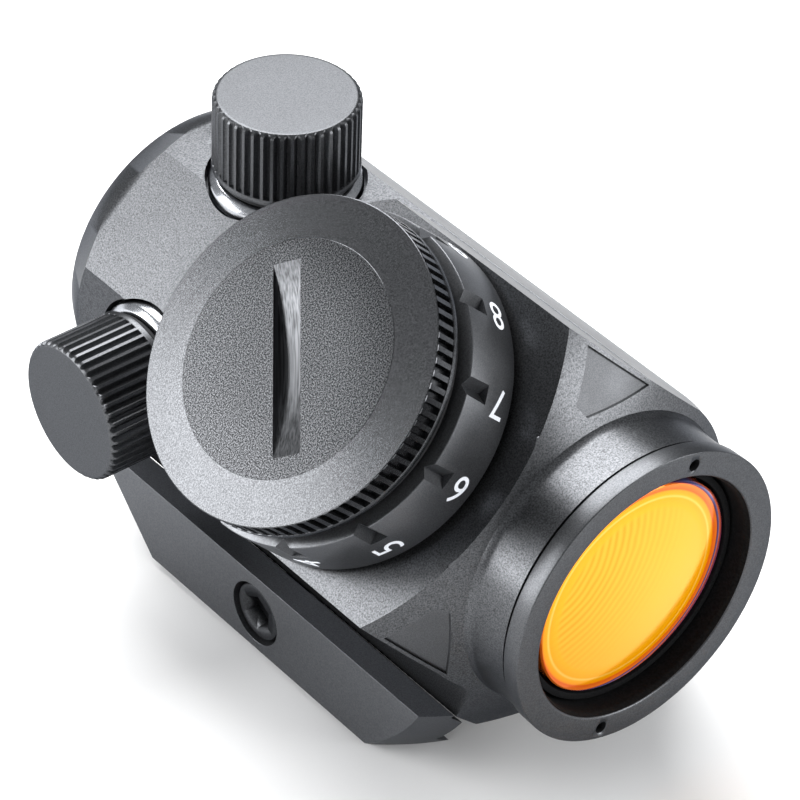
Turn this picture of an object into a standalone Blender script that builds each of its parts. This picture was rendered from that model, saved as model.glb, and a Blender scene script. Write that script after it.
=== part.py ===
"""Compact tube red dot sight with an integral rail base, as separate named sub-parts.

Frame: +Z up, -Y towards the objective, -X towards the windage turret and the clamp bar.
The origin lies on the rail seat, in the centre plane, straight below the two turret axes.
Profiles of turned pieces are lists of (radius, height along the piece's own axis).
"""

import math

import bmesh
import bpy
from mathutils import Euler, Vector

MM = 0.001
GAP = 0.3 * MM                      # running or assembly gap between neighbouring pieces
PAST = 1 * MM                       # how far a cutter reaches past the face it leaves
OUTSIDE = 45 * MM                   # a radius beyond every piece

# Axes
AXIS_Z = 15.5 * MM                  # optical axis above the rail seat
TURRET_Y = 0.1 * MM
DIAL_Y = -23.6 * MM
DIAL_TILT = math.radians(-45)       # the dial looks up and to the left
AWAY_TILT = math.radians(135)       # straight away from the dial, down and to the right
SIDE_TILT = math.radians(-90)       # the windage turret looks to the left

# Segment counts of turned pieces
BIG = 36
MEDIUM = 24
SMALL = 16
TINY = 8

# Housing
BODY_APOTHEM = 14.72 * MM
BODY_FRONT_Y = -45.5 * MM
BODY_REAR_Y = 13.42 * MM
BORE_R = 12.3 * MM
BORE_REAR_Y = 8.0 * MM
WINDOW_LIP_R = 10.6 * MM
WINDOW_SEAT_Y = 9.0 * MM
WINDOW_POCKET_R = 12.0 * MM
REAR_EDGE_R = 13.37 * MM
REAR_CONE_Y = 10.2 * MM
REAR_CONE_R = 15.1 * MM
REAR_CONE_START = (15.95 * MM, 9.25 * MM)
NECK_R = 13.45 * MM
COVE_R = 12.95 * MM
COVE_Y = -43.2 * MM
FLARE_START = (13.85 * MM, -41.5 * MM)
FLARE_ARC_CENTRE = (0.84 * MM, -15.26 * MM)
FLARE_ARC_R = 28.77 * MM
FLARE_ARC_FROM_R = 14.5 * MM
FLARE_ARC_TO_R = 26.4 * MM

# Dial platform
PLATFORM_D = 14.5 * MM
PLATFORM_HALF_WIDTH = 14.65 * MM
PLATFORM_REAR_R = 17.3 * MM
PLATFORM_FRONT = 18.5 * MM
PLATFORM_ROOT = 1 * MM
SWITCH_POCKET_R = 9.0 * MM
SWITCH_POCKET_FLOOR = 13.2 * MM
WIRE_HOLE_R = 0.9 * MM
WIRE_HOLE_S = 5.0 * MM
WIRE_HOLE_FROM = 10 * MM

# Rail base: heights below are measured from the optical axis
SEAT_Z = -15.5 * MM
BASE_HALF_WIDTH = 12.0 * MM
BASE_TOP_Z = -8.0 * MM
BASE_LEFT_EDGE_Z = -12.9 * MM
BASE_RIGHT_EDGE_Z = -11.6 * MM
BASE_FRONT = 42 * MM                # before the flare trims it
BASE_REAR = 9.2 * MM
SEAT_LEFT_X = -9.4 * MM
SEAT_RIGHT_X = 8.0 * MM
RAIL_HALF_WIDTH = 10.9 * MM
RAIL_WIDEST_Z = -18.4 * MM
RAIL_LOWER_Z = -18.7 * MM
JAW_TIP_X = 8.5 * MM
JAW_BOTTOM_Z = -21.1 * MM
JAW_OUTER_X = 15.0 * MM
JAW_TOP_Z = -12.2 * MM
JAW_CORNER = 0.8 * MM
BASE_REAR_Y = 7.7 * MM              # where the rear bevel meets the jaws' top face
CLAMP_LIP_DROP = 0.2 * MM
CLAMP_LIP_EDGE = 0.4 * MM
CLAMP_SLACK = 0.1 * MM              # from the rail's widest line

# Cross bolt
BOLT_Y = -15.3 * MM
BOLT_Z = -16.42 * MM
BOLT_SHANK_R = 2.0 * MM
BOLT_CLEARANCE = 0.2 * MM
BOLT_HEAD_SUNK = 0.3 * MM           # below the jaw's outer face
BOLT_HEAD_R = 2.75 * MM
BOLT_HEAD_H = 2.1 * MM
BOLT_HEAD_EDGE = 0.2 * MM
BOLT_END_CHAMFER = 0.4 * MM
BOLT_SOCKET_R = 1.75 * MM           # across the corners of the hex socket
BOLT_SOCKET_DEPTH = 1.3 * MM
COUNTERBORE_R = 3.06 * MM
COUNTERBORE_DEPTH = 2.7 * MM
NUT_R = 4.0 * MM                    # across the corners
NUT_H = 2.5 * MM
NUT_POCKET_DEPTH = 3.0 * MM
NUT_SUNK = 0.2 * MM

# Objective end
BEZEL_FRONT_Y = -47.57 * MM
BEZEL_R = 13.82 * MM
BEZEL_OPENING_R = 11.56 * MM
BEZEL_INNER_R = 11.3 * MM
BEZEL_SPIGOT_R = 12.0 * MM
BEZEL_SPIGOT_END_Y = -43.6 * MM
BEZEL_REAR_Y = -45.8 * MM
BEZEL_EDGE = 0.1 * MM
BEZEL_CONE_DEPTH = 0.6 * MM
PIN_HOLE_CIRCLE_R = 12.65 * MM
PIN_HOLE_R = 0.55 * MM
PIN_HOLE_DEPTH = 1.0 * MM
PIN_HOLE_ANGLE = math.radians(71.5)
LENS_R = 10.1 * MM
LENS_FRONT_Y = -45.9 * MM
LENS_EDGE = 2.0 * MM
LENS_SAG = 0.55 * MM
LENS_TILT = math.radians(2.5)
LENS_RING_IN_R = 9.3 * MM

# Rear end
WINDOW_R = 11.6 * MM
WINDOW_FRONT_Y = 10.0 * MM
WINDOW_BACK_Y = 11.5 * MM
WINDOW_SEAL_R = 11.15 * MM
WINDOW_SEAL_Y = 9.5 * MM
WINDOW_SEAL_WIRE_R = 0.35 * MM
EYEPIECE_IN_R = 10.5 * MM
EYEPIECE_OUT_R = 11.7 * MM
EYEPIECE_FRONT_Y = 11.8 * MM
EYEPIECE_BACK_Y = 13.2 * MM

# Optic tube and its gimbal
TUBE_R = 11.0 * MM
TUBE_BORE_R = 9.8 * MM
TUBE_POCKET_R = 10.4 * MM
TUBE_FRONT_Y = -45.6 * MM
TUBE_STEP_Y = -40.9 * MM
TUBE_REAR_Y = 5.5 * MM
GIMBAL_Y = -38.0 * MM
GIMBAL_IN_R = 11.3 * MM
GIMBAL_OUT_R = 12.0 * MM
GIMBAL_HALF_WIDTH = 1.4 * MM
GIMBAL_PIN_R = 0.6 * MM
GIMBAL_PIN_CLEARANCE = 0.15 * MM
GIMBAL_HOLE_FROM, GIMBAL_HOLE_TO = 11 * MM, 14 * MM
SIDE_PIN_FROM, SIDE_PIN_TO = 11.4 * MM, 13.8 * MM
UPRIGHT_PIN_FROM, UPRIGHT_PIN_TO = 10.1 * MM, 11.95 * MM
SPRING_POCKET_R = 1.9 * MM
SPRING_POCKET_FROM, SPRING_POCKET_TO = 11 * MM, 13.9 * MM
BIAS_SPRING_R = 1.3 * MM
BIAS_SPRING_WIRE_R = 0.2 * MM
BIAS_SPRING_FROM, BIAS_SPRING_TO = 11.6 * MM, 13.6 * MM

# Emitter: depths are distances from the optical axis, away from the dial
HOLDER_HALF_WIDTH = 1.5 * MM
HOLDER_FRONT_Y, HOLDER_BACK_Y = 1.0 * MM, 4.2 * MM
HOLDER_FROM, HOLDER_TO = 7.4 * MM, 9.4 * MM
EMITTER_DEPTH = 8.3 * MM
EMITTER_PROFILE = [(0, 0.15 * MM), (0.35 * MM, 0.25 * MM), (0.5 * MM, 0.45 * MM),
                   (0.5 * MM, 0.8 * MM), (0, 0.8 * MM)]

# Turrets: heights are distances from the optical axis
POCKET_R = 7.0 * MM
POCKET_FLOOR = 13.3 * MM
POCKET_OPEN = 18 * MM
COLLAR_R = 6.7 * MM
COLLAR_EDGE = 0.6 * MM
COLLAR_BOTTOM = 13.6 * MM
COLLAR_TOP = 15.2 * MM
COLLAR_NECK_R = 5.0 * MM
COLLAR_NECK_TOP = 19.3 * MM
COLLAR_BORE_R = 2.7 * MM
CAP_R = 6.4 * MM
CAP_BOTTOM = 16.0 * MM
CAP_TOP = 23.2 * MM
CAP_CAVITY_R = 5.3 * MM
CAP_CAVITY_TOP = 21.9 * MM
CAP_EDGE = 0.4 * MM
GASKET_R = 5.75 * MM
GASKET_WIRE_R = 0.3 * MM
SCREW_R = 2.4 * MM
SCREW_BOTTOM = 13.5 * MM
SCREW_TOP = 18.6 * MM
SCREW_SLOT = 0.8 * MM
PLUNGER_R = 1.2 * MM
PLUNGER_TIP = 11.35 * MM
PLUNGER_TOP = 13.0 * MM             # 0.5 mm below the screw, more than its travel
PLUNGER_CHAMFER = 0.4 * MM
PLUNGER_HOLE_R = 1.6 * MM
PLUNGER_HOLE_FROM = 11 * MM

# Dial and battery: heights are distances from the optical axis
DIAL_R_BOTTOM = 14.5 * MM
DIAL_R_TOP = 14.35 * MM
DIAL_BOTTOM = 15.2 * MM
DIAL_TOP = 21.4 * MM
DIAL_SKIRT_R = 13.3 * MM
DIAL_FLOOR_BOTTOM = 17.0 * MM
DIAL_FLOOR_TOP = 17.8 * MM
DIAL_CUP_R = 12.3 * MM
DIAL_HUB_HOLE_R = 5.3 * MM
NOTCH_COUNT = 12
NOTCH_ANGLE = math.radians(-2)      # of the first notch, from the front towards the right
NOTCH_DEPTH = 0.75 * MM
NOTCH_HALF_WIDTH = 0.78 * MM
NOTCH_BOTTOM = 18.7 * MM
DETENT_R = 10.4 * MM
BALL_R = 0.8 * MM
BALL_HEIGHT = 16.05 * MM
BALL_HOLE_R = 1.1 * MM
DETENT_SPRING_R = 0.6 * MM
DETENT_SPRING_WIRE_R = 0.15 * MM
DETENT_SPRING_FROM, DETENT_SPRING_TO = 13.5 * MM, 15.1 * MM
DIMPLE_R = 0.6 * MM
DIMPLE_DEPTH = 0.25 * MM
SWITCH_BASE_R = 12.3 * MM
SWITCH_BASE_BOTTOM = 14.8 * MM
SWITCH_BASE_TOP = 16.7 * MM
SWITCH_HOLE_FROM = 14 * MM
BASE_SCREW_SEAT = 15.8 * MM
BASE_SCREW_HOLE_R = 0.9 * MM
BASE_SCREW_SINK_R = 1.5 * MM
BASE_SCREW_R = 0.6 * MM
BASE_SCREW_HEAD_R = 1.2 * MM
BASE_SCREW_HEAD_H = 0.6 * MM
BASE_SCREW_END = 13.4 * MM
BASE_SCREW_TAP_R = 0.75 * MM
BASE_SCREW_TAP_FLOOR = 13.1 * MM
BOARD_R = 8.6 * MM
BOARD_HOLE_R = 1.0 * MM
BOARD_BOTTOM, BOARD_TOP = 13.5 * MM, 14.2 * MM
CONTACT_FROM, CONTACT_TO = 14.5 * MM, 18.6 * MM
CONTACT_R_LOW, CONTACT_R_HIGH = 2.8 * MM, 1.6 * MM
CONTACT_WIRE_R = 0.2 * MM
DIAL_SEAL_R = 12.8 * MM
DIAL_SEAL_HEIGHT = 15.9 * MM
DIAL_SEAL_WIRE_R = 0.3 * MM
HUB_R = 5.0 * MM
HUB_BORE_R = 3.6 * MM
HUB_TOP = 18.5 * MM
CLIP_IN_R = 5.2 * MM
CLIP_OUT_R = 6.2 * MM
CLIP_BOTTOM = 18.0 * MM
CLIP_TOP = 18.4 * MM
BATTERY_R = 10.0 * MM               # CR2032 cell: 20 mm by 3.2 mm
BATTERY_H = 3.2 * MM
BATTERY_BOTTOM = 18.9 * MM
BATTERY_EDGE = 0.4 * MM
BATTERY_STEP = 1 * MM
LID_R = 13.95 * MM
LID_BOTTOM = 23.0 * MM
LID_RIM = 25.87 * MM
LID_TOP = 26.23 * MM
LID_DISC_R = 10.02 * MM
LID_PLUG_R = 12.0 * MM
LID_PLUG_IN_R = 10.5 * MM
LID_PLUG_BOTTOM = 19.2 * MM
LID_CEILING = 22.4 * MM
LID_EDGE = 0.2 * MM
LID_SEAL_R = 12.75 * MM
LID_SEAL_HEIGHT = 22.2 * MM
LID_SEAL_WIRE_R = 0.6 * MM
COIN_SLOT_HALF_LENGTH = 8.2 * MM
COIN_SLOT_HALF_WIDTH = 1.3 * MM
COIN_SLOT_DEPTH = 1.15 * MM
COIN_SLOT_ANGLE = math.radians(42.4)


# ---------------------------------------------------------------- mesh helpers

def new_object(name, bm, matrix=None):
    """Turn a bmesh into a smooth-shaded object, placed by an optional (location, rotation)."""
    bmesh.ops.recalc_face_normals(bm, faces=bm.faces)
    mesh = bpy.data.meshes.new(name)
    bm.to_mesh(mesh)
    bm.free()
    mesh.shade_smooth()
    mesh.set_sharp_from_angle(angle=math.radians(30))
    obj = bpy.data.objects.new(name, mesh)
    bpy.context.scene.collection.objects.link(obj)
    if matrix:
        obj.location, obj.rotation_euler = matrix
    return obj


def turned(name, profile, segments, place=None):
    """Revolve a closed (radius, height) outline about local Z. Radius 0 closes onto the axis."""
    bm = bmesh.new()
    points = [bm.verts.new((radius, 0, height)) for radius, height in profile]
    on_axis = profile[0][0] == 0 and profile[-1][0] == 0
    pairs = list(zip(points, points[1:]))
    if not on_axis:
        pairs.append((points[-1], points[0]))
    edges = [bm.edges.new(pair) for pair in pairs]
    bmesh.ops.spin(bm, geom=points + edges, cent=(0, 0, 0), axis=(0, 0, 1),
                   angle=2 * math.pi, steps=segments, use_merge=True)
    bmesh.ops.remove_doubles(bm, verts=bm.verts, dist=1e-7)
    return new_object(name, bm, place)


def prism(name, outline, low, high, place=None):
    """Extrude a closed (x, y) outline from height low to height high."""
    bm = bmesh.new()
    face = bm.faces.new([bm.verts.new((x, y, low)) for x, y in outline])
    raised = bmesh.ops.extrude_face_region(bm, geom=[face])["geom"]
    top = [item for item in raised if isinstance(item, bmesh.types.BMVert)]
    bmesh.ops.translate(bm, verts=top, vec=(0, 0, high - low))
    return new_object(name, bm, place)


def polygon(radius, corners, turn=0.0):
    """Corners of a regular polygon, by its corner radius."""
    step = 2 * math.pi / corners
    return [(radius * math.cos(turn + step * i), radius * math.sin(turn + step * i))
            for i in range(corners)]


def cylinder(name, radius, low, high, segments, place=None):
    return turned(name, [(0, low), (radius, low), (radius, high), (0, high)], segments, place)


def tube_profile(inner, outer, low, high):
    return [(inner, low), (outer, low), (outer, high), (inner, high)]


def ring_of_wire(name, radius, height, wire_r, segments, place=None):
    """An O-ring: a small six-sided circle turned about the axis."""
    profile = [(radius + x, height + y) for x, y in polygon(wire_r, 6)]
    return turned(name, profile, segments, place)


def coil(name, low, high, radius_low, radius_high, wire_r, turns, place=None):
    """A helical spring of round wire about local Z."""
    curve = bpy.data.curves.new(name, "CURVE")
    curve.dimensions = "3D"
    curve.bevel_depth = wire_r
    curve.bevel_resolution = 0
    curve.use_fill_caps = True
    steps = turns * 8
    spline = curve.splines.new("POLY")
    spline.points.add(steps)
    for i in range(steps + 1):
        share = i / steps
        radius = radius_low + (radius_high - radius_low) * share
        angle = 2 * math.pi * turns * share
        height = low + wire_r + (high - low - 2 * wire_r) * share
        spline.points[i].co = (radius * math.cos(angle), radius * math.sin(angle), height, 1)
    obj = bpy.data.objects.new(name, curve)
    bpy.context.scene.collection.objects.link(obj)
    obj.location, obj.rotation_euler = place
    return obj


def joined(objects):
    """Merge the meshes of several helper objects into the first one, as separate shells."""
    first = objects[0]
    bm = bmesh.new()
    for obj in objects:
        copy = obj.data.copy()
        copy.transform(obj.matrix_basis)
        bm.from_mesh(copy)
        bpy.data.meshes.remove(copy)
    first.matrix_basis.identity()
    bm.to_mesh(first.data)
    bm.free()
    for obj in objects[1:]:
        bpy.data.objects.remove(obj)
    return first


def combine(target, tool, operation):
    """Add an exact Boolean; the tool stays in the scene as a hidden helper."""
    tool.hide_render = True
    tool.display_type = "WIRE"
    modifier = target.modifiers.new(tool.name, "BOOLEAN")
    modifier.operation = operation
    modifier.solver = "EXACT"
    modifier.object = tool


def cut(target, *tools):
    for tool in tools:
        combine(target, tool, "DIFFERENCE")


def fuse(target, *tools):
    for tool in tools:
        combine(target, tool, "UNION")


def finish(obj, colour, roughness, metallic=0.0, alpha=1.0):
    """Give the object its own Principled material."""
    material = bpy.data.materials.new(obj.name)
    material.use_nodes = True
    shader = material.node_tree.nodes["Principled BSDF"]
    shader.inputs["Base Color"].default_value = (*colour, 1)
    shader.inputs["Roughness"].default_value = roughness
    shader.inputs["Metallic"].default_value = metallic
    shader.inputs["Alpha"].default_value = alpha
    obj.data.materials.append(material)
    return obj


ANODISED = ((0.07, 0.072, 0.078), 0.45, 0.6)
BLACK_METAL = ((0.015, 0.015, 0.016), 0.5, 0.6)
STEEL = ((0.55, 0.55, 0.56), 0.3, 1.0)
RUBBER = ((0.01, 0.01, 0.01), 0.7, 0.0)
BRASS = ((0.7, 0.5, 0.2), 0.35, 1.0)


# ---------------------------------------------------------------- places

def on_optical_axis():
    """Local Z runs backwards along the optical axis, from the turrets' plane."""
    return Vector((0, 0, AXIS_Z)), Euler((math.radians(-90), 0, 0))


def on_turret(tilt):
    return Vector((0, TURRET_Y, AXIS_Z)), Euler((0, tilt, 0))


def on_gimbal(degrees):
    """Local Z leaves the optical axis through a gimbal pin: up, turned about the tube."""
    return Vector((0, GIMBAL_Y, AXIS_Z)), Euler((0, math.radians(degrees), 0))


def on_dial():
    """Local X is the platform's right, local Z leaves the optical axis through the dial."""
    return Vector((0, DIAL_Y, AXIS_Z)), Euler((0, DIAL_TILT, 0))


def across_body(y, z):
    """Local Z runs to the right, for pieces that lie across the sight."""
    return Vector((0, y, AXIS_Z + z)), Euler((0, math.radians(90), 0))


def section_place():
    """Local X and Y are the world's X and height, local Z runs towards the objective."""
    return Vector((0, 0, AXIS_Z)), Euler((math.radians(90), 0, 0))


# ---------------------------------------------------------------- housing

def flare_outline():
    """Inner side of the front flare: the neck's cove, then a hollow arc outwards."""
    centre_r, centre_y = FLARE_ARC_CENTRE
    steps = 6
    outline = [(NECK_R, BODY_FRONT_Y - 5 * PAST), (NECK_R, BODY_FRONT_Y + GAP),
               (COVE_R, COVE_Y), FLARE_START]
    for i in range(steps + 1):
        radius = FLARE_ARC_FROM_R + (FLARE_ARC_TO_R - FLARE_ARC_FROM_R) * i / steps
        height = centre_y - math.sqrt(FLARE_ARC_R ** 2 - (radius - centre_r) ** 2)
        outline.append((radius, height))
    return outline


def flare_cutter():
    """Everything outside the turned front of the sight."""
    outline = flare_outline()
    profile = outline + [(OUTSIDE, outline[-1][1]), (OUTSIDE, outline[0][1])]
    return turned("flare_cutter", profile, BIG, on_optical_axis())


def rear_bevel_cutter(name):
    """The 45 degree undercut at the rear of the rail base and the clamp bar."""
    reach = 20 * MM
    top = JAW_TOP_Z + reach
    outline = [(BASE_REAR_Y + reach, top), (BASE_REAR_Y - reach, JAW_TOP_Z - reach),
               (BASE_REAR_Y + 2 * reach, JAW_TOP_Z - reach), (BASE_REAR_Y + 2 * reach, top)]
    place = (Vector((0, 0, AXIS_Z)), Euler((math.radians(90), 0, math.radians(90))))
    return prism(name, outline, -reach, reach, place)


def base_block():
    """Rail base with its seat and the fixed jaw, before the front and rear are trimmed."""
    outline = [(-BASE_HALF_WIDTH, BASE_TOP_Z), (-BASE_HALF_WIDTH, BASE_LEFT_EDGE_Z),
               (SEAT_LEFT_X, SEAT_Z), (SEAT_RIGHT_X, SEAT_Z),
               (RAIL_HALF_WIDTH, RAIL_WIDEST_Z), (RAIL_HALF_WIDTH, RAIL_LOWER_Z),
               (JAW_TIP_X, JAW_BOTTOM_Z), (JAW_OUTER_X - JAW_CORNER, JAW_BOTTOM_Z),
               (JAW_OUTER_X, JAW_BOTTOM_Z + JAW_CORNER), (JAW_OUTER_X, JAW_TOP_Z),
               (BASE_HALF_WIDTH, BASE_RIGHT_EDGE_Z), (BASE_HALF_WIDTH, BASE_TOP_Z)]
    block = prism("base_block", outline, -BASE_REAR, BASE_FRONT, section_place())
    cut(block, rear_bevel_cutter("base_rear_cutter"))
    return block


def platform_block():
    """Block under the dial: straight sides, a round back edge about the dial axis."""
    half_angle = math.asin(PLATFORM_HALF_WIDTH / PLATFORM_REAR_R)
    steps = 10
    outline = [(-PLATFORM_HALF_WIDTH, -PLATFORM_FRONT), (PLATFORM_HALF_WIDTH, -PLATFORM_FRONT)]
    for i in range(steps + 1):
        angle = half_angle - 2 * half_angle * i / steps
        outline.append((PLATFORM_REAR_R * math.sin(angle), PLATFORM_REAR_R * math.cos(angle)))
    return prism("platform_block", outline, PLATFORM_ROOT, PLATFORM_D, on_dial())


def housing_bore_cutter():
    front = BODY_FRONT_Y - PAST
    rear = BODY_REAR_Y + PAST
    profile = [(0, front), (BORE_R, front), (BORE_R, BORE_REAR_Y), (WINDOW_LIP_R, BORE_REAR_Y),
               (WINDOW_LIP_R, WINDOW_SEAT_Y), (WINDOW_POCKET_R, WINDOW_SEAT_Y),
               (WINDOW_POCKET_R, rear), (0, rear)]
    return turned("housing_bore_cutter", profile, BIG, on_optical_axis())


def rear_cone_cutter():
    """Turned cone that takes the octagon's corners down to the round rear edge."""
    beyond = BODY_REAR_Y + PAST
    slope = (REAR_CONE_R - REAR_EDGE_R) / (BODY_REAR_Y - REAR_CONE_Y)
    profile = [(OUTSIDE, REAR_CONE_START[1]), (OUTSIDE, beyond),
               (REAR_EDGE_R - slope * PAST, beyond), (REAR_CONE_R, REAR_CONE_Y), REAR_CONE_START]
    return turned("rear_cone_cutter", profile, BIG, on_optical_axis())


def turret_cutter(name, tilt):
    """Round pocket for a turret, with the plunger's hole through to the bore."""
    profile = [(0, PLUNGER_HOLE_FROM), (PLUNGER_HOLE_R, PLUNGER_HOLE_FROM),
               (PLUNGER_HOLE_R, POCKET_FLOOR), (POCKET_R, POCKET_FLOOR), (POCKET_R, POCKET_OPEN),
               (0, POCKET_OPEN)]
    return turned(name, profile, MEDIUM, on_turret(tilt))


def dial_seat_cutter():
    """Spot face under the dial, with the switch board's pocket."""
    profile = [(0, SWITCH_POCKET_FLOOR), (SWITCH_POCKET_R, SWITCH_POCKET_FLOOR),
               (SWITCH_POCKET_R, PLATFORM_D), (PLATFORM_REAR_R, PLATFORM_D),
               (PLATFORM_REAR_R, DIAL_BOTTOM), (0, DIAL_BOTTOM)]
    return turned("dial_seat_cutter", profile, BIG, on_dial())


def dial_spot(x, y):
    """Place on an axis parallel to the dial's, at (x, y) from it."""
    location, rotation = on_dial()
    return location + rotation.to_matrix() @ Vector((x, y, 0)), rotation


def dial_hole_cutter(name, radius, x, y, low, high=PLATFORM_D + PAST):
    return cylinder(name, radius, low, high, TINY, dial_spot(x, y))


def dial_screw_places():
    """Centres of the three screws that hold the switch base, on the detent circle."""
    return [(DETENT_R * math.sin(angle), DETENT_R * math.cos(angle))
            for angle in (math.radians(60), math.radians(180), math.radians(300))]


def bolt_cutter(name):
    reach = JAW_OUTER_X + 5 * PAST
    return cylinder(name, BOLT_SHANK_R + BOLT_CLEARANCE, -reach, reach, SMALL,
                    across_body(BOLT_Y, BOLT_Z))


def nut_pocket_cutter():
    return prism("nut_pocket_cutter", polygon(NUT_R + GAP, 6, math.pi / 6),
                 JAW_OUTER_X - NUT_POCKET_DEPTH, JAW_OUTER_X + PAST,
                 across_body(BOLT_Y, BOLT_Z))


def gimbal_hole_cutter(name, side):
    radius = GIMBAL_PIN_R + GIMBAL_PIN_CLEARANCE
    low, high = sorted((side * GIMBAL_HOLE_FROM, side * GIMBAL_HOLE_TO))
    return cylinder(name, radius, low, high, TINY, across_body(GIMBAL_Y, 0))


def spring_pocket_cutter():
    """Blind pocket for the bias spring, opposite both turrets."""
    return cylinder("spring_pocket_cutter", SPRING_POCKET_R, SPRING_POCKET_FROM,
                    SPRING_POCKET_TO, SMALL, on_turret(AWAY_TILT))


def make_housing(flare):
    corner_r = BODY_APOTHEM / math.cos(math.pi / 8)
    body = prism("housing", polygon(corner_r, 8, math.pi / 8), BODY_FRONT_Y, BODY_REAR_Y,
                 on_optical_axis())
    fuse(body, platform_block(), base_block())
    cut(body, flare, rear_cone_cutter(), housing_bore_cutter())
    cut(body, turret_cutter("elevation_pocket_cutter", 0),
        turret_cutter("windage_pocket_cutter", SIDE_TILT))
    cut(body, dial_seat_cutter())
    cut(body, dial_hole_cutter("wire_hole_cutter", WIRE_HOLE_R, WIRE_HOLE_S, 0,
                               WIRE_HOLE_FROM))
    cut(body, dial_hole_cutter("detent_hole_cutter", BALL_HOLE_R, 0, DETENT_R,
                               SWITCH_POCKET_FLOOR))
    for i, (x, y) in enumerate(dial_screw_places()):
        cut(body, dial_hole_cutter(f"dial_screw_cutter_{i + 1}", BASE_SCREW_TAP_R, x, y,
                                   BASE_SCREW_TAP_FLOOR))
    cut(body, bolt_cutter("bolt_hole_cutter"), nut_pocket_cutter())
    cut(body, gimbal_hole_cutter("gimbal_hole_cutter_left", -1),
        gimbal_hole_cutter("gimbal_hole_cutter_right", 1))
    cut(body, spring_pocket_cutter())
    finish(body, *ANODISED)


# ---------------------------------------------------------------- both ends

def make_objective_bezel():
    profile = [(BEZEL_OPENING_R, BEZEL_FRONT_Y), (BEZEL_R - BEZEL_EDGE, BEZEL_FRONT_Y),
               (BEZEL_R, BEZEL_FRONT_Y + BEZEL_EDGE), (BEZEL_R, BEZEL_REAR_Y),
               (BEZEL_SPIGOT_R, BEZEL_REAR_Y), (BEZEL_SPIGOT_R, BEZEL_SPIGOT_END_Y),
               (BEZEL_INNER_R, BEZEL_SPIGOT_END_Y),
               (BEZEL_INNER_R, BEZEL_FRONT_Y + BEZEL_CONE_DEPTH)]
    bezel = turned("objective_bezel", profile, BIG, on_optical_axis())
    holes = []
    for i in range(2):
        angle = PIN_HOLE_ANGLE + math.pi * i
        place = (Vector((PIN_HOLE_CIRCLE_R * math.cos(angle), 0,
                         AXIS_Z + PIN_HOLE_CIRCLE_R * math.sin(angle))),
                 Euler((math.radians(-90), 0, 0)))
        holes.append(cylinder(f"pin_hole_cutter_{i + 1}", PIN_HOLE_R, BEZEL_FRONT_Y - PAST,
                              BEZEL_FRONT_Y + PIN_HOLE_DEPTH, TINY, place))
    cut(bezel, joined(holes))
    finish(bezel, *ANODISED)


def make_rear_window():
    window = cylinder("rear_window", WINDOW_R, WINDOW_FRONT_Y, WINDOW_BACK_Y, BIG,
                      on_optical_axis())
    finish(window, (0.8, 0.85, 0.9), 0.03, 0.0, 0.25)
    seal = ring_of_wire("rear_window_oring", WINDOW_SEAL_R, WINDOW_SEAL_Y, WINDOW_SEAL_WIRE_R,
                        MEDIUM, on_optical_axis())
    finish(seal, *RUBBER)
    ring = turned("eyepiece_ring", tube_profile(EYEPIECE_IN_R, EYEPIECE_OUT_R, EYEPIECE_FRONT_Y,
                                                EYEPIECE_BACK_Y), BIG, on_optical_axis())
    finish(ring, *BLACK_METAL)


# ---------------------------------------------------------------- optic tube and gimbal

def make_optic_tube():
    place = on_optical_axis()
    profile = [(TUBE_POCKET_R, TUBE_FRONT_Y), (TUBE_R, TUBE_FRONT_Y), (TUBE_R, TUBE_REAR_Y),
               (TUBE_BORE_R, TUBE_REAR_Y), (TUBE_BORE_R, TUBE_STEP_Y),
               (TUBE_POCKET_R, TUBE_STEP_Y)]
    tube = turned("inner_tube", profile, BIG, place)
    reach = TUBE_R + PAST
    pin_hole = cylinder("tube_pin_cutter", GIMBAL_PIN_R + GIMBAL_PIN_CLEARANCE, -reach, reach,
                        TINY, on_gimbal(0))
    cut(tube, pin_hole)
    finish(tube, *BLACK_METAL)


def lens_lean():
    """Sideways slope of the tilted lens, towards the emitter."""
    return math.tan(LENS_TILT) * Vector((1, 1, 0)).normalized()


def lean(obj, low=None):
    """Shear the piece, or only its points below a height, along its axis."""
    slope = lens_lean()
    for vertex in obj.data.vertices:
        if low is None or vertex.co.z < low:
            vertex.co.z += vertex.co.x * slope.x + vertex.co.y * slope.y


def make_lens():
    rear = LENS_FRONT_Y + LENS_EDGE
    steps = 3
    profile = []
    for i in range(steps + 1):
        share = i / steps
        profile.append((LENS_R * share, LENS_FRONT_Y - LENS_SAG * (1 - share ** 2)))
    for i in range(steps, -1, -1):
        share = i / steps
        profile.append((LENS_R * share, rear - LENS_SAG * (1 - share ** 2)))
    lens = turned("objective_lens", profile, BIG, on_optical_axis())
    lean(lens)
    finish(lens, (1.0, 0.55, 0.05), 0.05, 0.3, 0.7)
    front = rear + GAP
    seat = TUBE_STEP_Y - 0.1 * MM
    ring = turned("lens_ring", tube_profile(LENS_RING_IN_R, LENS_R, front, seat), BIG,
                  on_optical_axis())
    lean(ring, (front + seat) / 2)
    finish(ring, *BLACK_METAL)


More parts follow.
